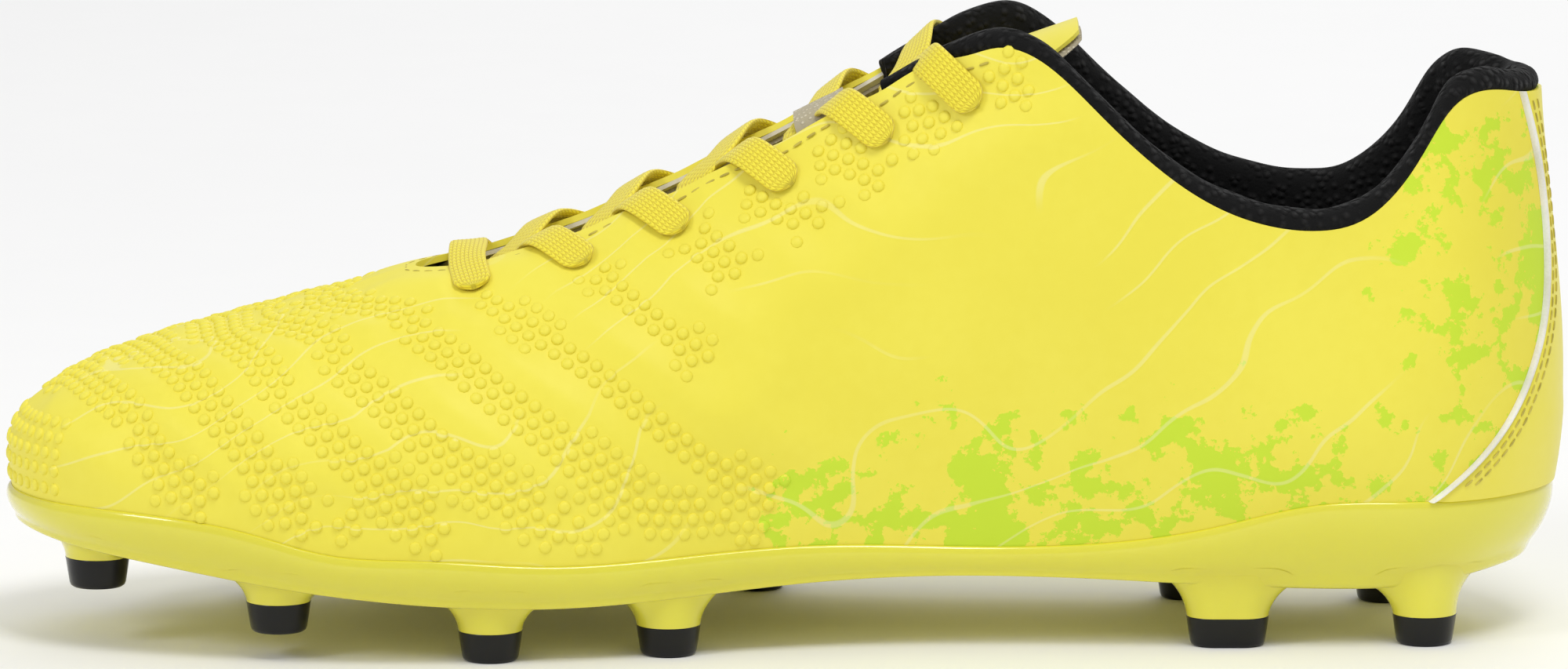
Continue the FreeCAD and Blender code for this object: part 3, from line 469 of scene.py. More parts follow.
def along_path(points, spacing, start=0.5):
    """Points and directions at even spacing along a line of points."""
    points = np.asarray(points, float)
    lengths = np.concatenate([[0.0], np.cumsum(np.linalg.norm(np.diff(points, axis=0), axis=1))])
    at = np.arange(start * spacing, lengths[-1], spacing)
    spots = np.stack([np.interp(at, lengths, points[:, k]) for k in range(3)], -1)
    ahead = np.stack([np.interp(at + 0.3, lengths, points[:, k]) for k in range(3)], -1)
    back = np.stack([np.interp(at - 0.3, lengths, points[:, k]) for k in range(3)], -1)
    return spots, unit(ahead - back)


def bend_with_toes(piece):
    """Bakes a piece's placement into its mesh; nothing here makes it bend."""
    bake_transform(piece)


# ---------------------------------------------------------------------------------------------
# Materials
# ---------------------------------------------------------------------------------------------
class Nodes:
    """Short way to build a node tree."""

    def __init__(self, tree):
        self.tree = tree

    def add(self, kind, inputs=(), **settings):
        """A node with its settings, and values or links for its inputs."""
        node = self.tree.nodes.new(kind)
        for key, value in settings.items():
            setattr(node, key, value)
        for key, value in dict(inputs).items():
            if isinstance(value, bpy.types.NodeSocket):
                self.tree.links.new(value, node.inputs[key])
            else:
                node.inputs[key].default_value = value
        return node

    def math(self, operation, a, b=0.0, c=0.0):
        """Result of a math node."""
        node = self.add("ShaderNodeMath", {0: a, 1: b, 2: c}, operation=operation)
        return node.outputs[0]

    def noise(self, where, scale, detail=2.0, roughness=0.5):
        """Value of a noise texture."""
        inputs = {"Vector": where, "Scale": scale, "Detail": detail, "Roughness": roughness}
        return self.add("ShaderNodeTexNoise", inputs).outputs["Fac"]

    def remap(self, value, low, high, to_low=0.0, to_high=1.0):
        """Value mapped from one range to another, with smooth ends."""
        inputs = {"Value": value, "From Min": low, "From Max": high, "To Min": to_low, "To Max": to_high}
        return self.add("ShaderNodeMapRange", inputs, interpolation_type="SMOOTHSTEP").outputs["Result"]

    def blend(self, share, a, b):
        """Mix of two colours."""
        node = self.add("ShaderNodeMix", {0: share, 6: a, 7: b}, data_type="RGBA")
        return node.outputs[2]


def effect(name, inputs, outputs):
    """A new node group with its sockets, and its inside to fill."""
    group = bpy.data.node_groups.new(name, "ShaderNodeTree")
    for label, kind in inputs:
        group.interface.new_socket(name=label, in_out="INPUT", socket_type=kind)
    for label, kind in outputs:
        group.interface.new_socket(name=label, in_out="OUTPUT", socket_type=kind)
    nodes = Nodes(group)
    return group, nodes, nodes.add("NodeGroupInput"), nodes.add("NodeGroupOutput")


def make_effects():
    """Shared effects: colour mottle, contour print, flakes, braid and knit."""
    effects = {}
    scalar, colour, vector = "NodeSocketFloat", "NodeSocketColor", "NodeSocketVector"

    group, n, given, result = effect(
        "Mottle", [("Where", vector), ("Light", colour), ("Dark", colour), ("Size", scalar)],
        [("Colour", colour), ("Fine", scalar)])
    broad = n.noise(given.outputs["Where"], given.outputs["Size"], 3.0)
    fine = n.noise(given.outputs["Where"], n.math("MULTIPLY", given.outputs["Size"], 22.0), 2.0)
    share = n.math("ADD", n.math("MULTIPLY", broad, 0.8), n.math("MULTIPLY", fine, 0.2))
    mixed = n.blend(n.remap(share, 0.35, 0.65), given.outputs["Dark"], given.outputs["Light"])
    group.links.new(mixed, result.inputs["Colour"])
    group.links.new(fine, result.inputs["Fine"])
    effects["mottle"] = group

    group, n, given, result = effect("Contour Lines", [("Where", vector)], [("Lines", scalar)])
    apart = n.add("ShaderNodeSeparateXYZ", {0: given.outputs["Where"]})
    rising = n.math("MULTIPLY", apart.outputs["Z"], 105.0)
    slope = n.math("ADD", rising, n.math("MULTIPLY", apart.outputs["X"], -42.0))
    slow = n.math("MULTIPLY", n.noise(given.outputs["Where"], 15.0, 0.5, 0.4), 8.0)
    quick = n.math("MULTIPLY", n.noise(given.outputs["Where"], 42.0, 0.5, 0.4), 2.0)
    step = n.math("FRACT", n.math("ADD", slope, n.math("ADD", slow, quick)))
    off = n.math("ABSOLUTE", n.math("SUBTRACT", step, 0.5))
    lines = n.remap(off, 0.016, 0.034, 1.0, 0.0)
    gaps = n.remap(n.noise(given.outputs["Where"], 24.0, 1.0), 0.4, 0.5)
    group.links.new(n.math("MULTIPLY", lines, gaps), result.inputs["Lines"])
    effects["contours"] = group

    group, n, given, result = effect("Flakes", [("Where", vector)], [("Flakes", scalar)])
    apart = n.add("ShaderNodeSeparateXYZ", {0: given.outputs["Where"]})
    low = n.remap(apart.outputs["Z"], 0.018, 0.085, 1.0, 0.0)
    middle = n.math("MULTIPLY", n.remap(apart.outputs["X"], -0.045, 0.03), low)
    back = n.math("MULTIPLY", n.remap(apart.outputs["X"], 0.08, 0.132), 0.98)
    field = n.math("MAXIMUM", middle, back)
    edge = n.remap(field, 0.0, 1.0, 0.72, 0.5)
    rough = n.noise(given.outputs["Where"], 190.0, 5.0, 0.66)
    blot = n.noise(given.outputs["Where"], 48.0, 2.0, 0.5)
    both = n.math("ADD", n.math("MULTIPLY", rough, 0.68), n.math("MULTIPLY", blot, 0.32))
    over = n.math("SUBTRACT", both, edge)
    group.links.new(n.remap(over, 0.0, 0.008), result.inputs["Flakes"])
    effects["flakes"] = group

    group, n, given, result = effect(
        "Braid", [("Where", vector), ("Ribs", scalar), ("Stitch", scalar)],
        [("Height", scalar), ("Painted Shade", scalar)])
    apart = n.add("ShaderNodeSeparateXYZ", {0: given.outputs["Where"]})
    across = n.math("MULTIPLY", apart.outputs["Y"], given.outputs["Ribs"])
    rib = n.math("ABSOLUTE", n.math("SINE", n.math("MULTIPLY", across, math.pi)))
    slant = n.math("ABSOLUTE", n.math("SUBTRACT", n.math("FRACT", across), 0.5))
    along = n.math("DIVIDE", apart.outputs["X"], given.outputs["Stitch"])
    run = n.math("ADD", along, n.math("MULTIPLY", slant, 1.3))
    stitch = n.math("ABSOLUTE", n.math("SINE", n.math("MULTIPLY", run, math.pi)))
    height = n.math("MULTIPLY", n.math("POWER", rib, 0.6), n.math("POWER", stitch, 0.5))
    group.links.new(height, result.inputs["Height"])
    # Painted shade: this output darkens the lace's colour where the braid lies low, between its ribs and
    # stitches.
    group.links.new(n.remap(height, 0.1, 0.75), result.inputs["Painted Shade"])
    effects["braid"] = group

    group, n, given, result = effect(
        "Knit", [("Where", vector), ("Size", scalar)], [("Height", scalar), ("Painted Shade", scalar)])
    cells = n.add("ShaderNodeTexVoronoi", {"Vector": given.outputs["Where"], "Scale": given.outputs["Size"]})
    nub = n.remap(cells.outputs["Distance"], 0.0, 0.6, 1.0, 0.0)
    fuzz = n.noise(given.outputs["Where"], 2600.0, 2.0)
    height = n.math("ADD", n.math("MULTIPLY", nub, 0.85), n.math("MULTIPLY", fuzz, 0.15))
    group.links.new(height, result.inputs["Height"])
    # Painted shade: this output darkens the knit's colour between the nubs, where it lies low.
    group.links.new(n.remap(height, 0.2, 0.8), result.inputs["Painted Shade"])
    effects["knit"] = group
    return effects


def material_with(name, roughness, **shader_values):
    """A new material with its Principled shader's constant values set on the shader itself."""
    made = bpy.data.materials.new(name)
    made.use_nodes = True
    nodes = Nodes(made.node_tree)
    shader = made.node_tree.nodes["Principled BSDF"]
    shader.inputs["Roughness"].default_value = roughness
    for key, value in shader_values.items():
        shader.inputs[key.replace("_", " ")].default_value = value
    where = nodes.add("ShaderNodeTexCoord").outputs["Object"]
    return made, nodes, shader, where


def bump(nodes, shader, height, strength, distance):
    """Surface relief on a shader."""
    inputs = {"Height": height, "Strength": strength, "Distance": distance}
    relief = nodes.add("ShaderNodeBump", inputs)
    nodes.tree.links.new(relief.outputs["Normal"], shader.inputs["Normal"])


def grouped(nodes, group, inputs):
    """A use of a shared effect."""
    return nodes.add("ShaderNodeGroup", inputs, node_tree=group)


def mottled(name, effects, light, dark, size, roughness, relief=0.0, **shader_values):
    """A material of two near colours that drift over the surface, with a fine grain."""
    made, nodes, shader, where = material_with(name, roughness, **shader_values)
    inputs = {"Where": where, "Light": light, "Dark": dark, "Size": size}
    mottle = grouped(nodes, effects["mottle"], inputs)
    nodes.tree.links.new(mottle.outputs["Colour"], shader.inputs["Base Color"])
    if relief:
        bump(nodes, shader, mottle.outputs["Fine"], 0.35, relief)
    return made


def printed_skin(name, effects, colours):
    """Matt yellow synthetic with cream contour lines and green flakes printed on it."""
    made, nodes, shader, where = material_with(name, 0.5, Specular_IOR_Level=0.35)
    mottle = grouped(nodes, effects["mottle"], {
        "Where": where, "Light": colours.skin, "Dark": colours.skin_shade, "Size": 18.0})
    lines = grouped(nodes, effects["contours"], {"Where": where})
    flakes = grouped(nodes, effects["flakes"], {"Where": where})
    colour = nodes.blend(flakes.outputs["Flakes"], mottle.outputs["Colour"], colours.flake)
    share = nodes.math("MULTIPLY", lines.outputs["Lines"], 0.34)
    colour = nodes.blend(share, colour, colours.contour)
    nodes.tree.links.new(colour, shader.inputs["Base Color"])
    bump(nodes, shader, mottle.outputs["Fine"], 0.12, 0.00008)
    return made


def braided(name, effects, colours):
    """Flat woven lace: lengthwise ribs of slanted stitches with painted shade between them, by the ribbon's
    own UV map in metres.
    """
    made, nodes, shader, _ = material_with(name, 0.62, Sheen_Weight=0.2)
    where = nodes.add("ShaderNodeTexCoord").outputs["UV"]
    braid = grouped(nodes, effects["braid"], {"Where": where, "Ribs": 9.0, "Stitch": 0.0012})
    # Painted shade: the darker yellow goes where the braid lies low, the lighter one on its ribs.
    colour = nodes.blend(braid.outputs["Painted Shade"], colours.lace_painted_shade, colours.lace)
    nodes.tree.links.new(colour, shader.inputs["Base Color"])
    bump(nodes, shader, braid.outputs["Height"], 0.7, 0.00022)
    return made


def knitted(name, effects, light, dark, size, relief, roughness=0.9):
    """Nubby knit, with painted shade between the nubs."""
    made, nodes, shader, where = material_with(name, roughness, Sheen_Weight=0.06, Specular_IOR_Level=0.2)
    knit = grouped(nodes, effects["knit"], {"Where": where, "Size": size})
    # Painted shade: the dark colour goes between the nubs, the light one on their tops.
    colour = nodes.blend(knit.outputs["Painted Shade"], dark, light)
    nodes.tree.links.new(colour, shader.inputs["Base Color"])
    bump(nodes, shader, knit.outputs["Height"], 0.9, relief)
    return made


def colour_property(label, purpose, value):
    """A colour setting."""
    return bpy.props.FloatVectorProperty(
        name=label, description=purpose, subtype="COLOR", size=4, default=value, min=0.0, max=1.0)


def length_property(label, purpose, value):
    """A length setting, in metres."""
    return bpy.props.FloatProperty(name=label, description=purpose, default=value, min=0.0, unit="LENGTH")


class CleatColours(bpy.types.PropertyGroup):
    """Colours of the cleat."""

    skin: colour_property("Skin", "Yellow of the upper", (0.88, 0.785, 0.085, 1.0))
    skin_shade: colour_property("Skin shade", "Darker yellow in the upper's mottle", (0.85, 0.75, 0.07, 1.0))
    contour: colour_property("Contour lines", "Printed cream lines", (0.9, 0.86, 0.45, 1.0))
    flake: colour_property("Flakes", "Printed green flakes", (0.6, 0.78, 0.035, 1.0))
    plate: colour_property("Plate", "Yellow of the moulded plate", (0.8, 0.73, 0.04, 1.0))
    lace: colour_property("Lace", "Yellow of the lace", (0.93, 0.8, 0.04, 1.0))
    # Painted shade: darker yellow painted between the lace's ribs and stitches.
    lace_painted_shade: colour_property("Lace shade", "Yellow between the lace's ribs", (0.74, 0.56, 0.012, 1.0))
    knit: colour_property("Collar", "Black of the collar", (0.013, 0.0125, 0.0125, 1.0))
    textile: colour_property("Textile", "Off-white of the tongue's textile", (0.72, 0.66, 0.5, 1.0))
    thread: colour_property("Thread", "Olive yellow of the stitches", (0.6, 0.5, 0.07, 1.0))


class CleatSizes(bpy.types.PropertyGroup):
    """Sizes of the cleat's visible details."""

    dot_radius: length_property("Dot radius", "Radius of a pressed dot", 0.00118)
    dot_height: length_property("Dot height", "How far a dot stands up", 0.00062)
    dot_pitch: length_property("Dot pitch", "Distance between dots in a row", 0.00305)
    valley_depth: length_property("Valley depth", "How deep the rows of dots lie", 0.0008)
    swell_height: length_property("Swell height", "How far the skin swells between the rows", 0.0006)
    lace_width: length_property("Lace width", "Width of the flat lace", 0.007)
    lace_thickness: length_property("Lace thickness", "Thickness of the flat lace", 0.0011)
    stitch_length: length_property("Stitch length", "Length of one stitch", 0.0019)
    edge_dip: length_property("Edge dip", "How far the throat's edge dips at a lace hole", 0.0013)
    camera_distance: length_property("Camera distance", "From the camera to the shoe", 2.0)


made_pieces = {}
materials = {}


def finish_piece(piece, nodes=(), body="rearfoot", bends=False):
    """Ties a finished piece to its body, or only bakes its placement when bends is set, and hides the CAD
    nodes that it stands for.
    """
    if bends:
        bend_with_toes(piece)
    else:
        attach(piece, body)
    if nodes:
        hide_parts(*nodes)
    made_pieces[piece.name] = piece
    return piece


# ---------------------------------------------------------------------------------------------
# Upper
# ---------------------------------------------------------------------------------------------
def spot_at(side, t, height):
    """Place and rise of the surface point of a side that is seen at a given t and height from that side."""
    view_drop = 0.167
    heel = 0.0 if side < 0 else 2.0
    places = heel - side * np.linspace(0.0, 1.06, 320)
    rises = np.linspace(0.0, 1.0, 120)
    points = skin(places[:, None], rises[None, :])
    seen = points[..., 2] - view_drop * points[..., 1] * side
    miss = (points[..., 0] + HALF_LENGTH - t) ** 2 + (seen - height) ** 2
    i, j = np.unravel_index(np.argmin(miss), miss.shape)
    return places[i], rises[j]


def band_lines():
    """Middle lines of the dot bands, as (lanes, points) on both sides; the far side mirrors the near one."""
    lines = []
    for lanes, spots in DOT_BANDS:
        found = [spot_at(-1, t, height) for t, height in spots]
        knots = np.arange(len(found), dtype=float)
        line = Line([(k, place, rise) for k, (place, rise) in zip(knots, found)])
        fine = line(np.linspace(0, knots[-1], 10 * len(found)))
        for mirrored in (False, True):
            places = 2 - fine[:, 0] if mirrored else fine[:, 0]
            lines.append((lanes, skin(places, np.clip(fine[:, 1], 0.0, 0.985))))
    return lines


def edge_dips(place):
    """How far the throat's edge dips, in millimetres, at each place."""
    own_t = opening(place % 2)[..., 0]
    dips = np.zeros_like(own_t)
    for eyelet in EYELET_T:
        dips += np.exp(-((own_t - eyelet) / 4.6) ** 2)
    return dips * bpy.context.scene.cleat_sizes.edge_dip / MM


class CLEAT_OT_upper(bpy.types.Operator):
    """Printed skin from the plate's cup to the collar and throat, with its swells, valleys and lace holes"""

    bl_idname = "cleat.upper"
    bl_label = "Upper"

    def execute(self, context):
        sizes = context.scene.cleat_sizes
        around, up = 500, 88
        places = np.linspace(0, 2, around, endpoint=False)
        top = 1 - edge_dips(places) / 95.0
        shares = np.linspace(0, 1, up)
        rises = -0.75 + (top[:, None] + 0.75) * shares[None, :]
        plain = skin(places[:, None], rises)
        bands = np.concatenate([points for _, points in band_lines()])
        search = KDTree(len(bands))
        for index, point in enumerate(bands):
            search.insert(point, index)
        search.balance()
        distance = np.array([search.find(point)[2] for point in plain.reshape(-1, 3)]).reshape(around, up)
        valley = np.exp(-(distance / 6.0) ** 2)
        reach = np.clip((rises - 0.02) / 0.12, 0, 1) * np.clip((top[:, None] - rises) / 0.08, 0, 1)
        swell = np.exp(-((distance - 11.0) / 5.5) ** 2)
        depth = (valley * sizes.valley_depth - swell * sizes.swell_height) / MM * reach
        outer = plain + inward(places[:, None], rises) * depth[..., None]
        piece = make_piece("upper_skin", outer, quads(around, up, ring_rows=True), materials["skin"])
        self.face_outward(piece)
        self.punch_holes(piece)
        self.thicken(piece)
        smooth(piece, 55)
        made_pieces["upper_tree"] = tree_of(piece)
        finish_piece(piece, ["upper"], bends=True)
        return {"FINISHED"}

    def face_outward(self, piece):
        """Turns the faces of the open skin outward."""
        face = piece.data.polygons[len(piece.data.polygons) // 4]
        if face.normal.y * (face.center.y + SIDE_SHIFT * MM) < 0:
            piece.data.flip_normals()

    def punch_holes(self, piece):
        """Cuts the lace holes and rounds their rims."""
        work = bmesh.new()
        work.from_mesh(piece.data)
        radius = HOLE_RADIUS * MM
        for side, eyelet in itertools.product((-1, 1), EYELET_T):
            centre = Vector(skin(*lace_hole(side, eyelet)) * MM)
            inside = [v for v in work.verts if (v.co - centre).length < radius]
            bmesh.ops.delete(work, geom=inside, context="VERTS")
            for vertex in work.verts:
                away = vertex.co - centre
                if vertex.is_boundary and away.length < radius * 2.4:
                    vertex.co = centre + away.normalized() * radius
        work.to_mesh(piece.data)
        work.free()

    def thicken(self, piece):
        """Gives the skin its thickness, towards the inside."""
        solid = piece.modifiers.new("Thickness", "SOLIDIFY")
        solid.thickness = SKIN * MM
        solid.offset = -1.0
        deselect()
        piece.select_set(True)
        bpy.context.view_layer.objects.active = piece
        bpy.ops.object.modifier_apply(modifier=solid.name)
        piece.select_set(False)


class CLEAT_OT_dots(bpy.types.Operator):
    """Pressed dots in staggered rows down the vamp and below the lace holes"""

    bl_idname = "cleat.dots"
    bl_label = "Dots"

    def execute(self, context):
        sizes = context.scene.cleat_sizes
        pitch = sizes.dot_pitch / MM
        search = made_pieces["upper_tree"]
        taken = {}
        spots = []
        for lanes, points in band_lines():
            self.fill_band(search, points, lanes, pitch, spots, taken)
        self.fill_toe(search, pitch, spots, taken)
        shape = dome(sizes.dot_radius / MM, sizes.dot_height / MM)
        points, faces = repeated(shape, spots)
        piece = make_piece("upper_dots", points, faces, materials["skin"], 65)
        finish_piece(piece, bends=True)
        return {"FINISHED"}

    def fill_band(self, search, points, lanes, pitch, spots, taken):
        """Staggered lanes of dots along a band's middle line."""
        steps, ways = along_path(points, pitch / 2)
        apart = pitch * math.sqrt(0.75)
        for k, (step, way) in enumerate(zip(steps, ways)):
            _, normal, _, _ = search.find_nearest(Vector(step) * MM)
            across = np.cross(np.array(normal), way)
            share = (k + 0.5) / len(steps)
            for lane in range(lanes + 2):
                offset = lane - (lanes + 1) / 2
                outer = abs(offset) / ((lanes + 1) / 2)
                if (k + lane) % 2 or (outer > 0.99 and not (0.1 < share < 0.26 or share > 0.82)):
                    continue
                fade = 1.0 if outer < 0.6 else 0.62
                self.place_dot(search, step + across * offset * apart, way, fade, spots, taken)

    def fill_toe(self, search, pitch, spots, taken):
        """Lanes of dots round the front of the toe."""
        for row, rise in enumerate(np.arange(0.03, 0.24, 0.0245)):
            line = skin(np.linspace(0.925, 1.075, 90), rise)
            steps, ways = along_path(line, pitch, 0.25 + 0.5 * (row % 2))
            for step, way in zip(steps, ways):
                self.place_dot(search, step, way, 0.85, spots, taken)

    def place_dot(self, search, point, way, fade, spots, taken):
        """One dot on the skin, unless another is too near or the edge is."""
        spot, normal, _, _ = search.find_nearest(Vector(point) * MM)
        spot = np.array(spot) / MM
        normal = np.array(normal)
        if np.linalg.norm(spot - point) > 3.5 or spot[2] < floor_rim(spot) + 1.0:
            return
        cell = tuple(np.floor(spot / 2.5).astype(int))
        for step in itertools.product((-1, 0, 1), repeat=3):
            near = taken.get(tuple(np.add(cell, step)), [])
            if any(np.linalg.norm(other - spot) < DOT_GAP for other in near):
                return
        taken.setdefault(cell, []).append(spot)
        if near_lace_hole(spot):
            return
        spots.append((spot, way, normal, (1, 1, fade)))


rim_line = Line([(t, rim) for t, _, rim in PLATE_HEIGHTS])
hole_centres = []


def floor_rim(spot):
    """Height of the plate's rim at a point's t."""
    return rim_line(np.clip(spot[0] + HALF_LENGTH, 0, SHOE_LENGTH))[0]


def near_lace_hole(spot):
    """Is a point within the flat ring round a lace hole?"""
    if not hole_centres:
        for side, eyelet in itertools.product((-1, 1), EYELET_T):
            hole_centres.append(skin(*lace_hole(side, eyelet)))
    return min(np.linalg.norm(spot - centre) for centre in hole_centres) < HOLE_RING


# ---------------------------------------------------------------------------------------------
# Linings and sockliner
# ---------------------------------------------------------------------------------------------
class CLEAT_OT_linings(bpy.types.Operator):
    """Textile linings of the toes and of both quarters, and the foam sockliner"""

    bl_idname = "cleat.linings"
    bl_label = "Linings"

    def execute(self, context):
        fore = np.linspace(place_on(outline, -1, 96.0), place_on(outline, 1, 96.0), 90)
        self.wall("vamp_textile", fore, -0.6, "vamp_lining", True)
        for side, name in ((-1, "medial"), (1, "lateral")):
            back = place_on(opening, side, 182.5)
            front = place_on(outline, side, 97.0)
            self.wall(f"quarter_textile_{name}", np.linspace(back, front, 60), -0.72,
                      f"quarter_lining_{name}", False)
        low, high = floor_layers(4.0, 4.4, 7.4, 110, dished=2.2)
        piece = make_shell("sockliner_pad", low, high, materials["foam"], ring=True)
        finish_piece(piece, ["sockliner"], bends=True)
        low, high = floor_layers(4.6, 2.7, 4.2, 110)
        piece = make_shell("fibre_board", low, high, materials["board"], ring=True)
        finish_piece(piece, ["insole_board"], bends=True)
        return {"FINISHED"}

    def wall(self, name, places, lowest, node, bends):
        """One lining, held at its depth under the skin."""
        rises = np.linspace(lowest, 0.965, 44)
        outer = layer(places[:, None], rises[None, :], np.full((len(places), 44), LINING_DEPTH))
        inner = layer(places[:, None], rises[None, :], np.full((len(places), 44), LINING_DEPTH + LINING))
        piece = make_shell(name, outer, inner, materials["lining"])
        finish_piece(piece, [node], bends=bends)


def floor_layers(inset, low_lift, high_lift, around, dished=0.0, across=16):
    """Two grids of points over the floor, from its outline to the spine."""
    places = np.linspace(0, 2, around, endpoint=False)
    foot, _, base = station(places)[:3]
    out = base - foot
    out[:, 2] = 0
    edge = foot - unit(out) * inset
    spine_x = np.clip(edge[:, 0], SPINE_FRONT - 20 - HALF_LENGTH, SPINE_BACK - HALF_LENGTH)
    spine = joined(spine_x, np.full_like(spine_x, -SIDE_SHIFT * 0.5), edge[:, 2])
    shares = np.linspace(0, 1, across)[None, :, None] ** 1.3
    flat = edge[:, None, :] * (1 - shares) + spine[:, None, :] * shares
    ground = floor_height(np.clip(flat[..., 0] + HALF_LENGTH, 0, SHOE_LENGTH))[..., 0]
    curl = dished * np.clip(1 - shares[..., 0] * 4, 0, 1) ** 2
    low, high = flat.copy(), flat.copy()
    low[..., 2] = ground + low_lift + curl * 0.5
    high[..., 2] = ground + high_lift + curl
    return low, high


# ---------------------------------------------------------------------------------------------
# Heel panel, piping and stitching
# ---------------------------------------------------------------------------------------------
def piping_places():
    """Place of the piping as a line of the rise, for each side."""
    lines = {}
    for side in (-1, 1):
        heel = 0.0 if side < 0 else 2.0
        places = heel - side * np.linspace(0.0, 0.3, 400)
        rises = np.linspace(0.0, 1.0, 300)
        points = skin(places[:, None], rises[None, :])
        rows = []
        for k, (t, height) in enumerate(PIPING_LINE):
            miss = np.hypot(points[..., 0] + HALF_LENGTH - t, points[..., 2] - height)
            i, j = np.unravel_index(np.argmin(miss), miss.shape)
            rise = {0: 1.0, len(PIPING_LINE) - 1: 0.0}.get(k, rises[j])
            rows.append((rise, places[i] if places[i] <= 1 else places[i] - 2))
        lines[side] = Line(rows)
    return lines


def shifted(line, rise, distance):
    """Places at a distance from the piping's line, along the surface."""
    place = line(rise)[..., 0]
    speed = np.linalg.norm(skin(place + 0.001, rise) - skin(place - 0.001, rise), axis=-1) / 0.002
    return place + distance / speed


def panel_step(rises):
    """How far the moulded cup under the heel panel lifts its lower part, in millimetres."""
    return 0.3 / (1 + np.exp((rises * 100 - 20) / 1.2))


class CLEAT_OT_heel(bpy.types.Operator):
    """Outer panel at the back of the heel and the white piping along its two edges"""

    bl_idname = "cleat.heel"
    bl_label = "Heel Panel"

    def execute(self, context):
        lines = piping_places()
        rises = np.linspace(0.0, 1.0, 90)
        low, high = shifted(lines[1], rises, 0.65), shifted(lines[-1], rises, -0.65)
        shares = np.linspace(0, 1, 60)
        places = low[:, None] * (1 - shares) + high[:, None] * shares
        edge = np.clip(np.minimum(shares, 1 - shares) / 0.035, 0, 1) ** 0.5
        proud = -0.05 - 0.6 * edge[None, :] - panel_step(rises)[:, None]
        grid = np.broadcast_to(rises[:, None], places.shape)
        outer = layer(places, grid, proud)
        inner = layer(places, grid, np.full(places.shape, -0.05))
        piece = make_shell("heel_cover", outer, inner, materials["panel"])
        finish_piece(piece, ["heel_panel"])
        for side, name in ((-1, "medial"), (1, "lateral")):
            self.piping(lines[side], rises, name)
        made_pieces["piping_lines"] = lines
        return {"FINISHED"}

    def piping(self, line, rises, name):
        """Half-round piping on one side."""
        angles = np.linspace(0, math.pi, 9)
        offsets = -0.62 * np.cos(angles)
        places = np.stack([shifted(line, rises, offset) for offset in offsets], axis=1)
        grid = np.broadcast_to(rises[:, None], places.shape)
        heights = np.broadcast_to(-0.05 - 1.15 * np.sin(angles)[None, :], places.shape)
        outer = layer(places, grid, heights)
        inner = layer(places, grid, np.full(places.shape, -0.02))
        piece = make_shell(f"piping_{name}", outer, inner, materials["piping"], angle=60)
        finish_piece(piece, [f"heel_piping_{name}"])


class CLEAT_OT_stitching(bpy.types.Operator):
    """Double rows beside the piping and the dashed row round the throat's edge"""

    bl_idname = "cleat.stitching"
    bl_label = "Stitching"

    def execute(self, context):
        length = context.scene.cleat_sizes.stitch_length / MM
        spots = []
        rises = np.linspace(0.04, 0.97, 160)
        for side, line in made_pieces["piping_lines"].items():
            for distance in (2.3, 4.4):
                places = shifted(line, rises, side * distance)
                path = layer(places, rises, -0.72 - panel_step(rises))
                self.row(path, places, rises, length * 1.3, spots)
        points, faces = repeated(capsule(length, 0.42, 0.4), spots)
        piece = make_piece("heel_stitches", points, faces, materials["thread_light"], 60)
        finish_piece(piece)
        spots = []
        places = opening_places(-1, 181.0, 76.3, 260)
        places = np.concatenate([places, 2 - places[::-1][1:]])
        rises = below_edge(places, 2.3 + edge_dips(places))
        path = layer(places, rises, np.full(rises.shape, -0.08))
        self.row(path, places, rises, length * 1.55, spots)
        points, faces = repeated(capsule(length, 0.5, 0.42), spots)
        piece = make_piece("throat_stitches", points, faces, materials["thread"], 60)
        finish_piece(piece, bends=True)
        return {"FINISHED"}

    def row(self, path, places, rises, spacing, spots):
        """Stitches along a path, each standing on the skin."""
        steps, ways = along_path(path, spacing)
        normals = -inward(places, rises)
        for step, way in zip(steps, ways):
            nearest = np.argmin(np.linalg.norm(path - step, axis=1))
            spots.append((step, way, normals[nearest], (1, 1, 1)))


# ---------------------------------------------------------------------------------------------
# Collar and tongue
# ---------------------------------------------------------------------------------------------
# Section of the padded collar as (depth, height) from the opening's edge, outside to inside and back.
COLLAR_OUTER = [
    (1.30, -0.9), (0.15, 0.1), (-0.15, 1.2), (0.35, 2.7), (1.6, 3.8), (3.2, 4.1), (4.9, 3.2), (6.1, 1.2),
    (6.7, -2.5), (6.6, -6.0), (5.8, -10.0), (4.8, -14.0), (4.1, -20.0), (3.9, -33.0), (3.8, -46.0),
]
COLLAR_INNER = [(3.1, -46.0), (3.1, -33.0), (3.1, -20.0), (3.1, -12.0), (2.3, -6.0), (1.6, -3.0)]


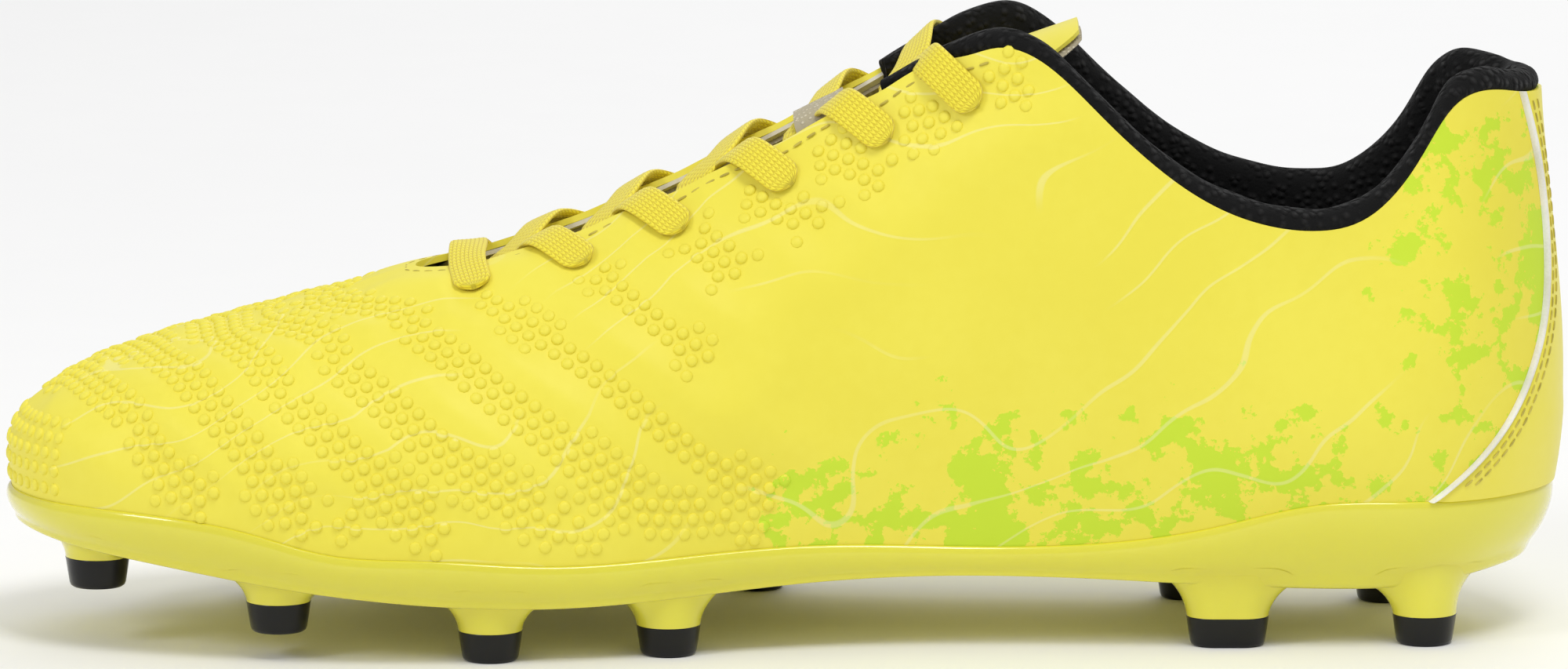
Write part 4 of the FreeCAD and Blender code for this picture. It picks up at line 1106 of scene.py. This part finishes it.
class CLEAT_OT_collar(bpy.types.Operator):
    """Padded knit collar from one side of the throat, round the heel, to the other"""

    bl_idname = "cleat.collar"
    bl_label = "Collar"

    def execute(self, context):
        low = place_on(opening, 1, COLLAR_FRONT_T) - 2
        high = place_on(opening, -1, COLLAR_FRONT_T)
        places = np.linspace(low, high, 420)
        own_t = opening(places % 2)[:, 0]
        fullness = np.clip((own_t - COLLAR_FRONT_T) / 26.0, 0.0, 1.0)
        fullness = 0.42 + 0.58 * fullness * fullness * (3 - 2 * fullness)
        section = self.fine_section()
        grid = np.zeros((len(places), len(section), 3))
        up = unit(skin(places, 1.0) - skin(places, 0.97))
        inside = inward(places, np.ones_like(places))
        top = skin(places, np.ones_like(places))
        wobble = 0.16 * np.sin(places * 190.0) + 0.12 * np.sin(places * 83.0 + 1.0)
        for j, (depth, height) in enumerate(section):
            roll = 1.0 if height > -8 else 0.0
            depths = np.full(len(places), depth)
            if depth > SKIN and height > -8:
                depths = SKIN + (depth - SKIN) * fullness
            depths = depths + wobble * roll * (depth > 1.5)
            if height >= 0:
                heights = height * (0.35 + 0.65 * fullness) + wobble * 0.7
                grid[:, j] = top + up * heights[:, None] + inside * depths[:, None]
            else:
                reach = np.where(own_t < COLLAR_SHORT_T, np.minimum(-height, COLLAR_SHORT_REACH), -height)
                rises = below_edge(places, reach)
                if height < -20:
                    foot = below_edge(places, 20.0) * (46.0 + height) / 26.0 - 0.86 * (-height - 20.0) / 26.0
                    rises = np.where(own_t < COLLAR_SHORT_T, rises, foot)
                short = (own_t < COLLAR_SHORT_T) & (depth > 2.0)
                depths = np.where(short, np.maximum(depths, 3.15), depths)
                grid[:, j] = layer(places, rises, depths)
        faces = quads(len(places), len(section), ring_columns=True)
        faces.append(list(range(len(section))))
        faces.append(list(range((len(places) - 1) * len(section), len(places) * len(section))))
        piece = make_piece("collar_roll", grid, faces, materials["knit"], 70)
        finish_piece(piece, ["collar_lining", "collar_foam"])
        return {"FINISHED"}

    def fine_section(self):
        """The collar's section with smooth steps between its points."""
        points = COLLAR_OUTER
        line = Line([(float(k), depth, height) for k, (depth, height) in enumerate(points)])
        fine = [tuple(line(k)) for k in np.arange(0, len(points) - 0.99, 0.34)]
        return fine + COLLAR_INNER


def tongue_points(t, across, depth):
    """Points of the tongue at t, across from -1 to 1, at a depth under its face."""
    t, across, depth = (np.asarray(v, float) for v in np.broadcast_arrays(t, across, depth))
    middle, half_width, drop = np.moveaxis(tongue_line(t), -1, 0)
    ahead, back = np.minimum(t + 0.5, 197.0), np.maximum(t - 0.5, 72.0)
    lean = np.arctan2(tongue_line(ahead)[..., 0] - tongue_line(back)[..., 0], ahead - back)
    turn = np.arctan2(2 * drop * across, half_width)
    normal = joined(-np.sin(lean), np.sin(turn) * np.cos(lean), np.cos(turn) * np.cos(lean))
    spot = joined(t - HALF_LENGTH, across * half_width - SIDE_SHIFT, middle - drop * across ** 2)
    return spot - unit(normal) * depth[..., None]


def tongue_width(t):
    """Share of the tongue's full width at t: its top corners are rounded."""
    return 0.55 + 0.45 * np.sqrt(np.clip(1.0 - (np.maximum(t - 184.0, 0.0) / 13.2) ** 2, 0.0, 1.0))


class CLEAT_OT_tongue(bpy.types.Operator):
    """Padded tongue: off-white textile body, yellow face with a pointed tip, and the lace keeper"""

    bl_idname = "cleat.tongue"
    bl_label = "Tongue"

    def execute(self, context):
        stations = np.linspace(75.0, 197.0, 130)
        shares = np.linspace(-1.0, 1.0, 41)
        t, across = stations[:, None], shares[None, :]
        ends = np.sqrt(np.clip(1 - ((t - 136.0) / 61.3) ** 12, 0, 1))
        edge = np.sqrt(np.clip(1 - np.abs(across) ** 6, 0, 1)) * ends
        puff = 0.35 * np.sin((t - 87.5) * 2 * math.pi / 18.0) * (1 - across ** 2)
        middle = 2.0
        spread = across * tongue_width(t)
        upper_side = tongue_points(t, spread, middle - 1.05 * edge - puff * edge * 0.5)
        lower_side = tongue_points(t, spread, middle + (1.3 + 0.5 * (1 - across ** 2)) * edge)
        piece = make_shell("tongue_padding", upper_side, lower_side, materials["textile"], angle=60)
        finish_piece(piece, ["tongue_lining", "tongue_foam"])
        self.face(stations)
        self.keeper()
        return {"FINISHED"}

    def face(self, stations):
        """Yellow face, a little narrower than the padding, narrowing to a blunt point at its top."""
        shares = np.linspace(-1.0, 1.0, 31)
        t = stations[:, None]
        across = shares[None, :] * 0.95 * tongue_width(t)
        top = tongue_points(np.broadcast_to(t, across.shape), across, 0.05)
        bottom = tongue_points(np.broadcast_to(t, across.shape), across, 0.8)
        piece = make_shell("tongue_cover", top, bottom, materials["panel"], angle=50)
        finish_piece(piece, ["tongue_face"])

    def keeper(self):
        """Strip across the middle of the tongue that holds the lace."""
        t = np.linspace(147.0, 156.0, 10)[:, None]
        across = np.linspace(-0.42, 0.42, 15)[None, :]
        arch = 3.5 * (1 - (np.abs(across) / 0.42) ** 5)
        outer, inner = tongue_points(t, across, -0.55 - arch), tongue_points(t, across, 0.1 - arch)
        piece = make_shell("lace_keeper", outer, inner, materials["textile"])
        finish_piece(piece, ["tongue_keeper"])


# ---------------------------------------------------------------------------------------------
# Lace
# ---------------------------------------------------------------------------------------------
class CLEAT_OT_lace(bpy.types.Operator):
    """One flat lace: a bar across the front holes, five crossings and two tucked tails"""

    bl_idname = "cleat.lace"
    bl_label = "Lace"

    def execute(self, context):
        sizes = context.scene.cleat_sizes
        self.width = sizes.lace_width / MM
        self.thick = sizes.lace_thickness / MM
        self.points, self.faces, self.uv = [], [], []
        self.bar()
        for index in range(len(EYELET_T) - 1):
            self.crossing(1, index, 0.0)
            self.crossing(-1, index, self.thick + 0.35)
            for side in (-1, 1):
                self.under_run(side, index)
        for side in (-1, 1):
            for index in range(len(EYELET_T)):
                self.plug(side, index)
            self.tail(side)
        points = np.concatenate(self.points)
        piece = make_piece("lace_ribbon", points, self.faces, materials["lace"], 70, np.concatenate(self.uv))
        finish_piece(piece, ["lace"])
        return {"FINISHED"}

    def hole(self, side, index):
        """Spots of the lace above and below a lace hole, with the outward direction."""
        place, rise = lace_hole(side, EYELET_T[index])
        inside = inward(place, rise)
        spot = skin(place, rise)
        return spot - inside * (self.thick / 2 + 0.1), spot + inside * (FLAP + self.thick / 2 + 0.25), -inside

    def over_edge(self, side, t, lift=0.2):
        """Spot of the lace on top of the throat's edge."""
        place = place_on(opening, side, t)
        outward = -inward(place, 0.985)
        return skin(place, 0.985) + outward * (self.thick / 2 + lift), outward

    def under_edge(self, side, t):
        """Spot of the lace under the throat's edge."""
        place = place_on(opening, side, t)
        outward = -inward(place, 0.97)
        return skin(place, 0.97) - outward * (FLAP + self.thick / 2 + 0.3), outward

    def bar(self):
        """The lace straight across the front pair of holes."""
        left, _, left_out = self.hole(-1, 0)
        right, _, right_out = self.hole(1, 0)
        left_edge, left_edge_out = self.over_edge(-1, EYELET_T[0] - 1.5)
        right_edge, right_edge_out = self.over_edge(1, EYELET_T[0] - 1.5)
        middle = (left_edge + right_edge) / 2 + np.array([0, 0, 1.6])
        left_end = left + (unit(left - left_edge) * 2.9 - left_out * 0.25)
        right_end = right + (unit(right - right_edge) * 2.9 - right_out * 0.25)
        up = np.array([0.0, 0.0, 1.0])
        self.ribbon([left_end, left, left_edge, middle, right_edge, right, right_end],
                    [left_out, left_out, left_edge_out, up, right_edge_out, right_out, right_out],
                    (True, True))

    def crossing(self, from_side, index, lift):
        """From under one flap, over the other, to that side's next lace hole."""
        to_side = -from_side
        t_from = EYELET_T[index] + 4.0
        t_to = EYELET_T[index + 1] - 5.5
        low, low_out = self.under_edge(from_side, t_from - 1.0)
        high, high_out = self.over_edge(to_side, t_to, 0.9)
        hole, _, hole_out = self.hole(to_side, index + 1)
        middle_t = (t_from + t_to) / 2
        middle = tongue_points(middle_t, 0.0, -(self.thick / 2 + 0.9 + lift))
        near = tongue_points(t_from, 0.3 * from_side, -(self.thick / 2 + 0.5 + lift * 0.4))
        near_out = unit(near - tongue_points(t_from, 0.3 * from_side, 0.0))
        up = unit(middle - tongue_points(middle_t, 0.0, 0.0))
        beyond = hole + unit(hole - high) * 2.9 - hole_out * 0.25
        self.ribbon([low, near, middle, high, hole, beyond],
                    [low_out, near_out, up, high_out, hole_out, hole_out], (False, True))

    def under_run(self, side, index):
        """Under a flap, from a lace hole to where the lace comes out in the throat."""
        _, start, outward = self.hole(side, index)
        end, end_out = self.under_edge(side, EYELET_T[index] + 3.5)
        self.ribbon([start - (end - start) * 0.2, (start + end) / 2, end], [outward, outward, end_out],
                    (True, False), 5.0)

    def tail(self, side):
        """Inside the shoe, from the last lace hole down between tongue and lining."""
        _, start, outward = self.hole(side, len(EYELET_T) - 1)
        place = place_on(opening, side, EYELET_T[-1])
        points = [start]
        for distance, clearance in ((22.0, 1.6), (34.0, 1.7), (46.0, 3.4)):
            points.append(layer(place, below_edge(place, distance), FLAP + self.thick / 2 + clearance))
        self.ribbon(points, [outward] * len(points), (False, False), 5.0)

    def plug(self, side, index):
        """The lace gathered in a lace hole."""
        over, under, outward = self.hole(side, index)
        angles = np.linspace(0, 2 * math.pi, 14, endpoint=False)
        first = unit(np.cross(outward, [0.0, 0.0, 1.0]))
        second = np.cross(outward, first)
        rings = [centre + np.cos(angles)[:, None] * first * 1.9 + np.sin(angles)[:, None] * second * 1.9
                 for centre in (over, (over + under) / 2, under)]
        self.store(np.stack(rings), np.zeros((3, 14, 2)))

    def ribbon(self, points, normals, rounded, width=None):
        """A ribbon along smooth points, with rounded ends where asked and ribs along it."""
        width = width or self.width
        points, normals = np.array(points, float), np.array(normals, float)
        knots = np.concatenate([[0.0], np.cumsum(np.linalg.norm(np.diff(points, axis=0), axis=1) ** 0.75)])
        line = Line([(k,) + tuple(p) + tuple(n) for k, p, n in zip(knots, points, normals)])
        dense = line(np.linspace(0, knots[-1], 200))
        lengths = np.concatenate([[0.0], np.cumsum(np.linalg.norm(np.diff(dense[:, :3], axis=0), axis=1))])
        end_steps = np.array([0.0, 0.12, 0.3, 0.6, 1.0, 1.6, 2.4])
        middle = np.linspace(3.3, lengths[-1] - 3.3, max(4, int(lengths[-1] / 0.9)))
        at = np.concatenate([end_steps, middle, lengths[-1] - end_steps[::-1]])
        rows = np.stack([np.interp(at, lengths, dense[:, k]) for k in range(6)], -1)
        centre, facing = rows[:, :3], unit(rows[:, 3:])
        ahead = unit(np.gradient(centre, axis=0))
        side = unit(np.cross(ahead, facing))
        face = np.cross(side, ahead)
        narrow = np.ones(len(at))
        round_length = 3.0
        for end, from_end in ((0, at), (1, lengths[-1] - at)):
            if rounded[end]:
                share = np.clip(1 - from_end / round_length, 0, 1)
                narrow *= np.sqrt(np.clip(1 - share ** 2, 0.02, 1))
        shares = np.linspace(-0.5, 0.5, 28)
        ribs = 0.1 * np.abs(np.sin(shares * 9 * math.pi))
        edge = np.sqrt(np.clip(1 - (np.abs(shares) * 2) ** 5, 0, 1))
        crown = (self.thick / 2 + ribs) * edge
        base = self.thick / 2 * edge[::-1]
        halves = []
        for spread, lift in ((shares, crown), (shares[::-1], -base)):
            halves.append(centre[:, None] + side[:, None] * (spread * width)[None, :, None]
                          * narrow[:, None, None] + face[:, None] * lift[None, :, None])
        loop = np.concatenate(halves, axis=1)
        across = np.concatenate([shares, shares[::-1]]) + 0.5
        uv = np.stack(np.broadcast_arrays(at[:, None] * MM, across[None, :]), -1)
        self.store(loop, uv)

    def store(self, loop, uv):
        """Adds a closed tube of rings."""
        start = sum(len(points) for points in self.points)
        rings, around = loop.shape[:2]
        self.points.append(loop.reshape(-1, 3))
        self.uv.append(np.asarray(uv, float).reshape(-1, 2))
        self.faces += quads(rings, around, ring_columns=True, start=start)
        self.faces.append([start + k for k in range(around)])
        self.faces.append([start + (rings - 1) * around + k for k in range(around)])


# ---------------------------------------------------------------------------------------------
# Plate and studs
# ---------------------------------------------------------------------------------------------
class CLEAT_OT_plate(bpy.types.Operator):
    """Moulded plate: cup wall with a bead along its lower edge, floor and flared bases of the studs"""

    bl_idname = "cleat.plate"
    bl_label = "Plate"

    def execute(self, context):
        around = 360
        places = np.linspace(0, 2, around, endpoint=False)
        # rise and depth of the wall's section, from the inside of the rim over it and down the outside
        section = [
            (-0.985, -0.06), (-0.6, -0.06), (-0.3, -0.06), (-0.03, -0.06), (0.0, -0.12), (-0.01, -0.42),
            (-0.06, -0.75), (-0.14, -1.05), (-0.28, -1.35), (-0.45, -1.5), (-0.62, -1.55), (-0.76, -1.5),
            (-0.84, -1.65), (-0.91, -1.95), (-0.965, -1.85), (-1.0, -1.3), (-1.0, -0.5),
        ]
        line = Line([(float(k), rise, depth) for k, (rise, depth) in enumerate(section)])
        fine = line(np.arange(3, len(section) - 0.99, 0.5))
        inner = np.array(section[:3])
        rows = np.concatenate([inner, fine])
        rises = np.clip(rows[:, 0], -1.0, 0.0)
        wall = layer(places[:, None], rises[None, :], np.broadcast_to(rows[:, 1], (around, len(rows))))
        low, high = floor_layers(0.6, 0.0, PLATE_FLOOR, around, across=44)
        low[..., 2] -= self.sole_relief(low)
        grid = np.concatenate([high[:, ::-1], wall, low], axis=1)
        faces = quads(around, grid.shape[1], ring_rows=True)
        piece = make_piece("plate_shell", grid, faces, materials["plate"], 50)
        search = tree_of(piece)
        bases = [self.base(search, *stud[1:5]) for stud in STUDS]
        count = len(piece.data.vertices)
        points = [np.array([v.co for v in piece.data.vertices]) / MM]
        all_faces = [list(p.vertices) for p in piece.data.polygons]
        for base_points, base_faces in bases:
            points.append(base_points)
            all_faces += [[count + v for v in face] for face in base_faces]
            count += len(base_points)
        bpy.data.objects.remove(piece)
        piece = make_piece("plate", np.concatenate(points), all_faces, materials["plate"], 50)
        finish_piece(piece, ["outsole_plate"], bends=True)
        return {"FINISHED"}

    def sole_relief(self, low):
        """Raised chevron ribs and a raised shank under the floor, in millimetres."""
        t, y = low[..., 0] + HALF_LENGTH, low[..., 1] + SIDE_SHIFT * 0.5
        chevron = np.sin((t - np.abs(y) * 0.7) * 2 * math.pi / 8.0)
        ribs = 0.6 / (1 + np.exp(-9 * (chevron - 0.1)))
        fore = 1 / (1 + np.exp((t - 150.0) / 2.0))
        heel = 1 / (1 + np.exp((212.0 - t) / 2.0))
        shank = 0.9 / (1 + np.exp((np.abs(y) - 9.0) / 0.7)) * (1 - fore) * (1 - heel)
        return ribs * np.maximum(fore, heel) + shank

    def base(self, search, t, y, ground, bladed):
        """One stud's base, flaring into the plate where there is plate above it."""
        x = t - HALF_LENGTH
        low = ground + 5.5
        angles = np.linspace(0, 2 * math.pi, 56, endpoint=False)
        start = [self.reach_at(angle, bladed) for angle in angles]
        levels = np.linspace(0, 1, 12)
        grid = np.zeros((len(levels) + 1, len(angles), 3))
        widest = []
        for angle, first in zip(angles, start):
            found = None
            for extra in np.arange(6.5, -3.6, -0.5):
                reach = first + extra
                origin = Vector((x + reach * math.cos(angle), y + reach * math.sin(angle), -20.0)) * MM
                hit = search.ray_cast(origin, Vector((0, 0, 1)))
                if hit[0] is not None and hit[0].z / MM < floor_height(t)[0] + (3.0 if extra > 0 else 7.0):
                    found = (reach, hit[0].z / MM)
                    break
            widest.append(found or (first + 0.5, floor_height(t)[0] + 1.0))
        reaches = self.evened([reach for reach, _ in widest])
        tops = self.evened([top for _, top in widest])
        for k, level in enumerate(levels):
            swing = level * math.pi / 2
            for j, angle in enumerate(angles):
                reach = start[j] + (reaches[j] - start[j]) * (1 - math.cos(swing)) ** 0.8
                top = tops[j] + 0.15
                straight = low + (top - low) * math.sin(swing)
                grid[k, j] = (x + reach * math.cos(angle), y + reach * math.sin(angle), straight)
        for j, angle in enumerate(angles):
            grid[-1, j] = (x + start[j] * math.cos(angle), y + start[j] * math.sin(angle), tops[j] + 1.2)
        faces = quads(len(levels) + 1, len(angles), ring_columns=True)
        faces.append(list(range(len(angles))))
        faces.append(list(range(len(levels) * len(angles), (len(levels) + 1) * len(angles))))
        return grid.reshape(-1, 3), faces

    def evened(self, values):
        """Values round the stud with their jumps evened out."""
        values = np.array(values, float)
        for _ in range(3):
            values = (np.roll(values, 1) + values * 2 + np.roll(values, -1)) / 4
        return values

    def reach_at(self, angle, bladed):
        """Distance from a stud's middle to its side at the joint with the tip."""
        return blade_reach(angle, BLADE_RADIUS - 0.05, BLADE_HALF_RUN) if bladed else STUD_RADIUS - 0.05


def blade_reach(angle, radius, half_run):
    """Distance from the middle of a rounded blade to its side, in a direction."""
    across, along = abs(math.sin(angle)), abs(math.cos(angle))
    straight = radius / max(across, 1e-6)
    if straight * along <= half_run:
        return straight
    return half_run * along + math.sqrt(max(radius ** 2 - (half_run * across) ** 2, 0.0))


class CLEAT_OT_stud_tips(bpy.types.Operator):
    """Hard black tips of the twelve studs"""

    bl_idname = "cleat.stud_tips"
    bl_label = "Stud Tips"

    def execute(self, context):
        # share of the height, shrink of the reach in millimetres
        profile = [(0.0, 1.9), (0.0, 1.35), (0.05, 0.95), (0.14, 0.75), (0.5, 0.42), (0.9, 0.1), (0.96, 0.0),
                   (1.0, 0.12), (1.0, 0.8)]
        for name, t, y, ground, bladed, body in STUDS:
            angles = np.linspace(0, 2 * math.pi, 56, endpoint=False)
            grid = np.zeros((len(profile), len(angles), 3))
            for k, (share, shrink) in enumerate(profile):
                for j, angle in enumerate(angles):
                    reach = STUD_RADIUS - shrink
                    if bladed:
                        reach = blade_reach(angle, BLADE_RADIUS - shrink, BLADE_HALF_RUN)
                    grid[k, j] = (t - HALF_LENGTH + reach * math.cos(angle), y + reach * math.sin(angle),
                                  ground + TIP_HEIGHT * share)
            faces = quads(len(profile), len(angles), ring_columns=True)
            faces.append(list(range(len(angles))))
            faces.append(list(range((len(profile) - 1) * len(angles), len(profile) * len(angles))))
            piece = make_piece(f"tip_{name}", grid, faces, materials["tip"], 35)
            finish_piece(piece, [f"stud_tip_{name}"], body=body)
        return {"FINISHED"}


class CLEAT_OT_hidden_parts(bpy.types.Operator):
    """Finishes of the CAD parts that stay: stiffeners, strips under the lace holes and lace tips"""

    bl_idname = "cleat.hidden_parts"
    bl_label = "Inner Parts"

    def execute(self, context):
        finishes = {
            "toe_puff": "stiffener", "heel_counter": "stiffener",
            "eyestay_medial": "stiffener", "eyestay_lateral": "stiffener",
            "aglet_medial": "aglet", "aglet_lateral": "aglet",
        }
        for name, finish in finishes.items():
            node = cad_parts[name]
            node.data.materials.clear()
            node.data.materials.append(materials[finish])
        return {"FINISHED"}


class CLEAT_OT_materials(bpy.types.Operator):
    """All finishes of the cleat"""

    bl_idname = "cleat.materials"
    bl_label = "Finishes"

    def execute(self, context):
        colours = context.scene.cleat_colours
        effects = make_effects()
        materials["skin"] = printed_skin("Printed skin", effects, colours)
        materials["lace"] = braided("Braided lace", effects, colours)
        # key, label, lighter and darker colour, size of the mottle, roughness, relief in metres, the rest
        plain = (
            ("panel", "Heel panel", colours.skin, (0.86, 0.76, 0.05, 1.0), 16.0, 0.42, 0.00006,
             {"Coat_Weight": 0.15, "Coat_Roughness": 0.3}),
            ("plate", "Moulded plate", colours.plate, (0.77, 0.69, 0.035, 1.0), 12.0, 0.2, 0.0,
             {"Coat_Weight": 0.9, "Coat_Roughness": 0.05, "Subsurface_Weight": 0.05}),
            ("tip", "Stud tip", (0.008, 0.008, 0.009, 1.0), (0.004, 0.004, 0.004, 1.0), 60.0, 0.2, 0.00004,
             {"Specular_IOR_Level": 0.3}),
            ("piping", "Piping", (0.88, 0.87, 0.82, 1.0), (0.72, 0.7, 0.62, 1.0), 120.0, 0.5, 0.00008, {}),
            ("thread", "Thread", colours.thread, (0.42, 0.34, 0.05, 1.0), 400.0, 0.7, 0.0, {}),
            ("thread_light", "Heel thread", (0.62, 0.52, 0.09, 1.0), (0.4, 0.33, 0.05, 1.0), 400.0, 0.7,
             0.0, {}),
            ("board", "Fibre board", (0.4, 0.3, 0.18, 1.0), (0.3, 0.21, 0.12, 1.0), 60.0, 0.8, 0.0001, {}),
            ("stiffener", "Stiffener", (0.75, 0.72, 0.62, 1.0), (0.62, 0.58, 0.48, 1.0), 50.0, 0.7, 0.0001,
             {}),
            ("aglet", "Lace tip", (0.85, 0.75, 0.1, 1.0), (0.75, 0.65, 0.06, 1.0), 90.0, 0.2, 0.0,
             {"Coat_Weight": 0.4}),
            ("floor", "Studio floor", (0.97, 0.97, 0.97, 1.0), (0.955, 0.955, 0.955, 1.0), 2.0, 0.85, 0.0,
             {}),
        )
        for key, label, light, dark, size, roughness, relief, rest in plain:
            materials[key] = mottled(label, effects, light, dark, size, roughness, relief, **rest)
        # key, label, lighter colour of the nub tops and darker colour painted as shade between the nubs,
        # number of nubs to the metre, relief in metres
        knits = (
            ("knit", "Collar knit", colours.knit, (0.004, 0.004, 0.004, 1.0), 620.0, 0.0009),
            ("lining", "Lining textile", (0.5, 0.46, 0.34, 1.0), (0.33, 0.29, 0.2, 1.0), 900.0, 0.0003),
            ("textile", "Tongue textile", colours.textile, (0.45, 0.4, 0.28, 1.0), 1100.0, 0.0003),
            ("foam", "Sockliner cloth", (0.05, 0.05, 0.05, 1.0), (0.018, 0.018, 0.018, 1.0), 800.0, 0.0003),
        )
        for key, label, light, dark, size, relief in knits:
            materials[key] = knitted(label, effects, light, dark, size, relief)
        return {"FINISHED"}


class CLEAT_OT_studio(bpy.types.Operator):
    """Pale floor, soft lights and the camera"""

    bl_idname = "cleat.studio"
    bl_label = "Studio"

    def execute(self, context):
        deselect()
        bpy.ops.mesh.primitive_plane_add(size=12.0, location=(0, 0, 0))
        floor = context.active_object
        floor.name = "studio_floor"
        floor.data.materials.append(materials["floor"])
        world = bpy.data.worlds.new("Studio")
        context.scene.world = world
        world.use_nodes = True
        back = world.node_tree.nodes["Background"]
        back.inputs["Color"].default_value = (1.0, 1.0, 1.0, 1.0)
        back.inputs["Strength"].default_value = 0.56
        self.light("key", (0.35, -0.75, 1.6), 0.55, 11.0)
        self.light("side", (-1.1, -0.9, 1.0), 0.42, 5.0)
        self.light("back", (0.4, 1.3, 1.1), 1.2, 6.0)
        context.scene.view_settings.view_transform = "Standard"
        self.camera(context)
        return {"FINISHED"}

    def light(self, name, place, size, power):
        """A soft square light that faces the shoe."""
        lamp = bpy.data.lights.new(name, "AREA")
        lamp.size = size
        lamp.energy = power
        holder = bpy.data.objects.new(name, lamp)
        bpy.context.scene.collection.objects.link(holder)
        holder.location = place
        aim = Vector((0, 0, 0.05)) - Vector(place)
        holder.rotation_euler = aim.to_track_quat("-Z", "Y").to_euler()

    def camera(self, context):
        """Low side view through a long lens."""
        elevation = math.radians(9.5)
        distance = context.scene.cleat_sizes.camera_distance
        lens = bpy.data.cameras.new("camera")
        lens.lens = 250.0
        lens.sensor_width = 36.0
        holder = bpy.data.objects.new("camera", lens)
        context.scene.collection.objects.link(holder)
        aim = Vector(((CAD_LOW.x + CAD_HIGH.x) / 2 + 0.0001, 0.0, 0.0536))
        holder.location = aim + distance * Vector((0, -math.cos(elevation), math.sin(elevation)))
        holder.rotation_euler = (math.pi / 2 - elevation, 0, 0)
        context.scene.camera = holder


class CLEAT_PT_panel(bpy.types.Panel):
    """Lists the cleat's pieces and settings"""

    bl_label = "Soccer Cleat"
    bl_idname = "CLEAT_PT_panel"
    bl_space_type = "VIEW_3D"
    bl_region_type = "UI"
    bl_category = "Cleat"

    def draw(self, context):
        for operator in OPERATORS:
            self.layout.operator(operator.bl_idname)
        for settings in (context.scene.cleat_sizes, context.scene.cleat_colours):
            box = self.layout.box()
            for name in settings.__annotations__:
                box.prop(settings, name)


OPERATORS = (
    CLEAT_OT_materials, CLEAT_OT_studio, CLEAT_OT_upper, CLEAT_OT_dots, CLEAT_OT_linings, CLEAT_OT_heel,
    CLEAT_OT_stitching, CLEAT_OT_collar, CLEAT_OT_tongue, CLEAT_OT_lace, CLEAT_OT_plate, CLEAT_OT_stud_tips,
    CLEAT_OT_hidden_parts,
)
CLASSES = (CleatColours, CleatSizes) + OPERATORS + (CLEAT_PT_panel,)


def register():
    """Adds the cleat's classes and settings."""
    for item in CLASSES:
        bpy.utils.register_class(item)
    bpy.types.Scene.cleat_colours = bpy.props.PointerProperty(type=CleatColours)
    bpy.types.Scene.cleat_sizes = bpy.props.PointerProperty(type=CleatSizes)


def unregister():
    """Takes them away again."""
    del bpy.types.Scene.cleat_sizes
    del bpy.types.Scene.cleat_colours
    for item in reversed(CLASSES):
        bpy.utils.unregister_class(item)


def main():
    """Registers the cleat's classes and builds the cleat."""
    register()
    for operator in OPERATORS:
        section, name = operator.bl_idname.split(".")
        getattr(getattr(bpy.ops, section), name)()


if __name__ == "__main__":
    main()
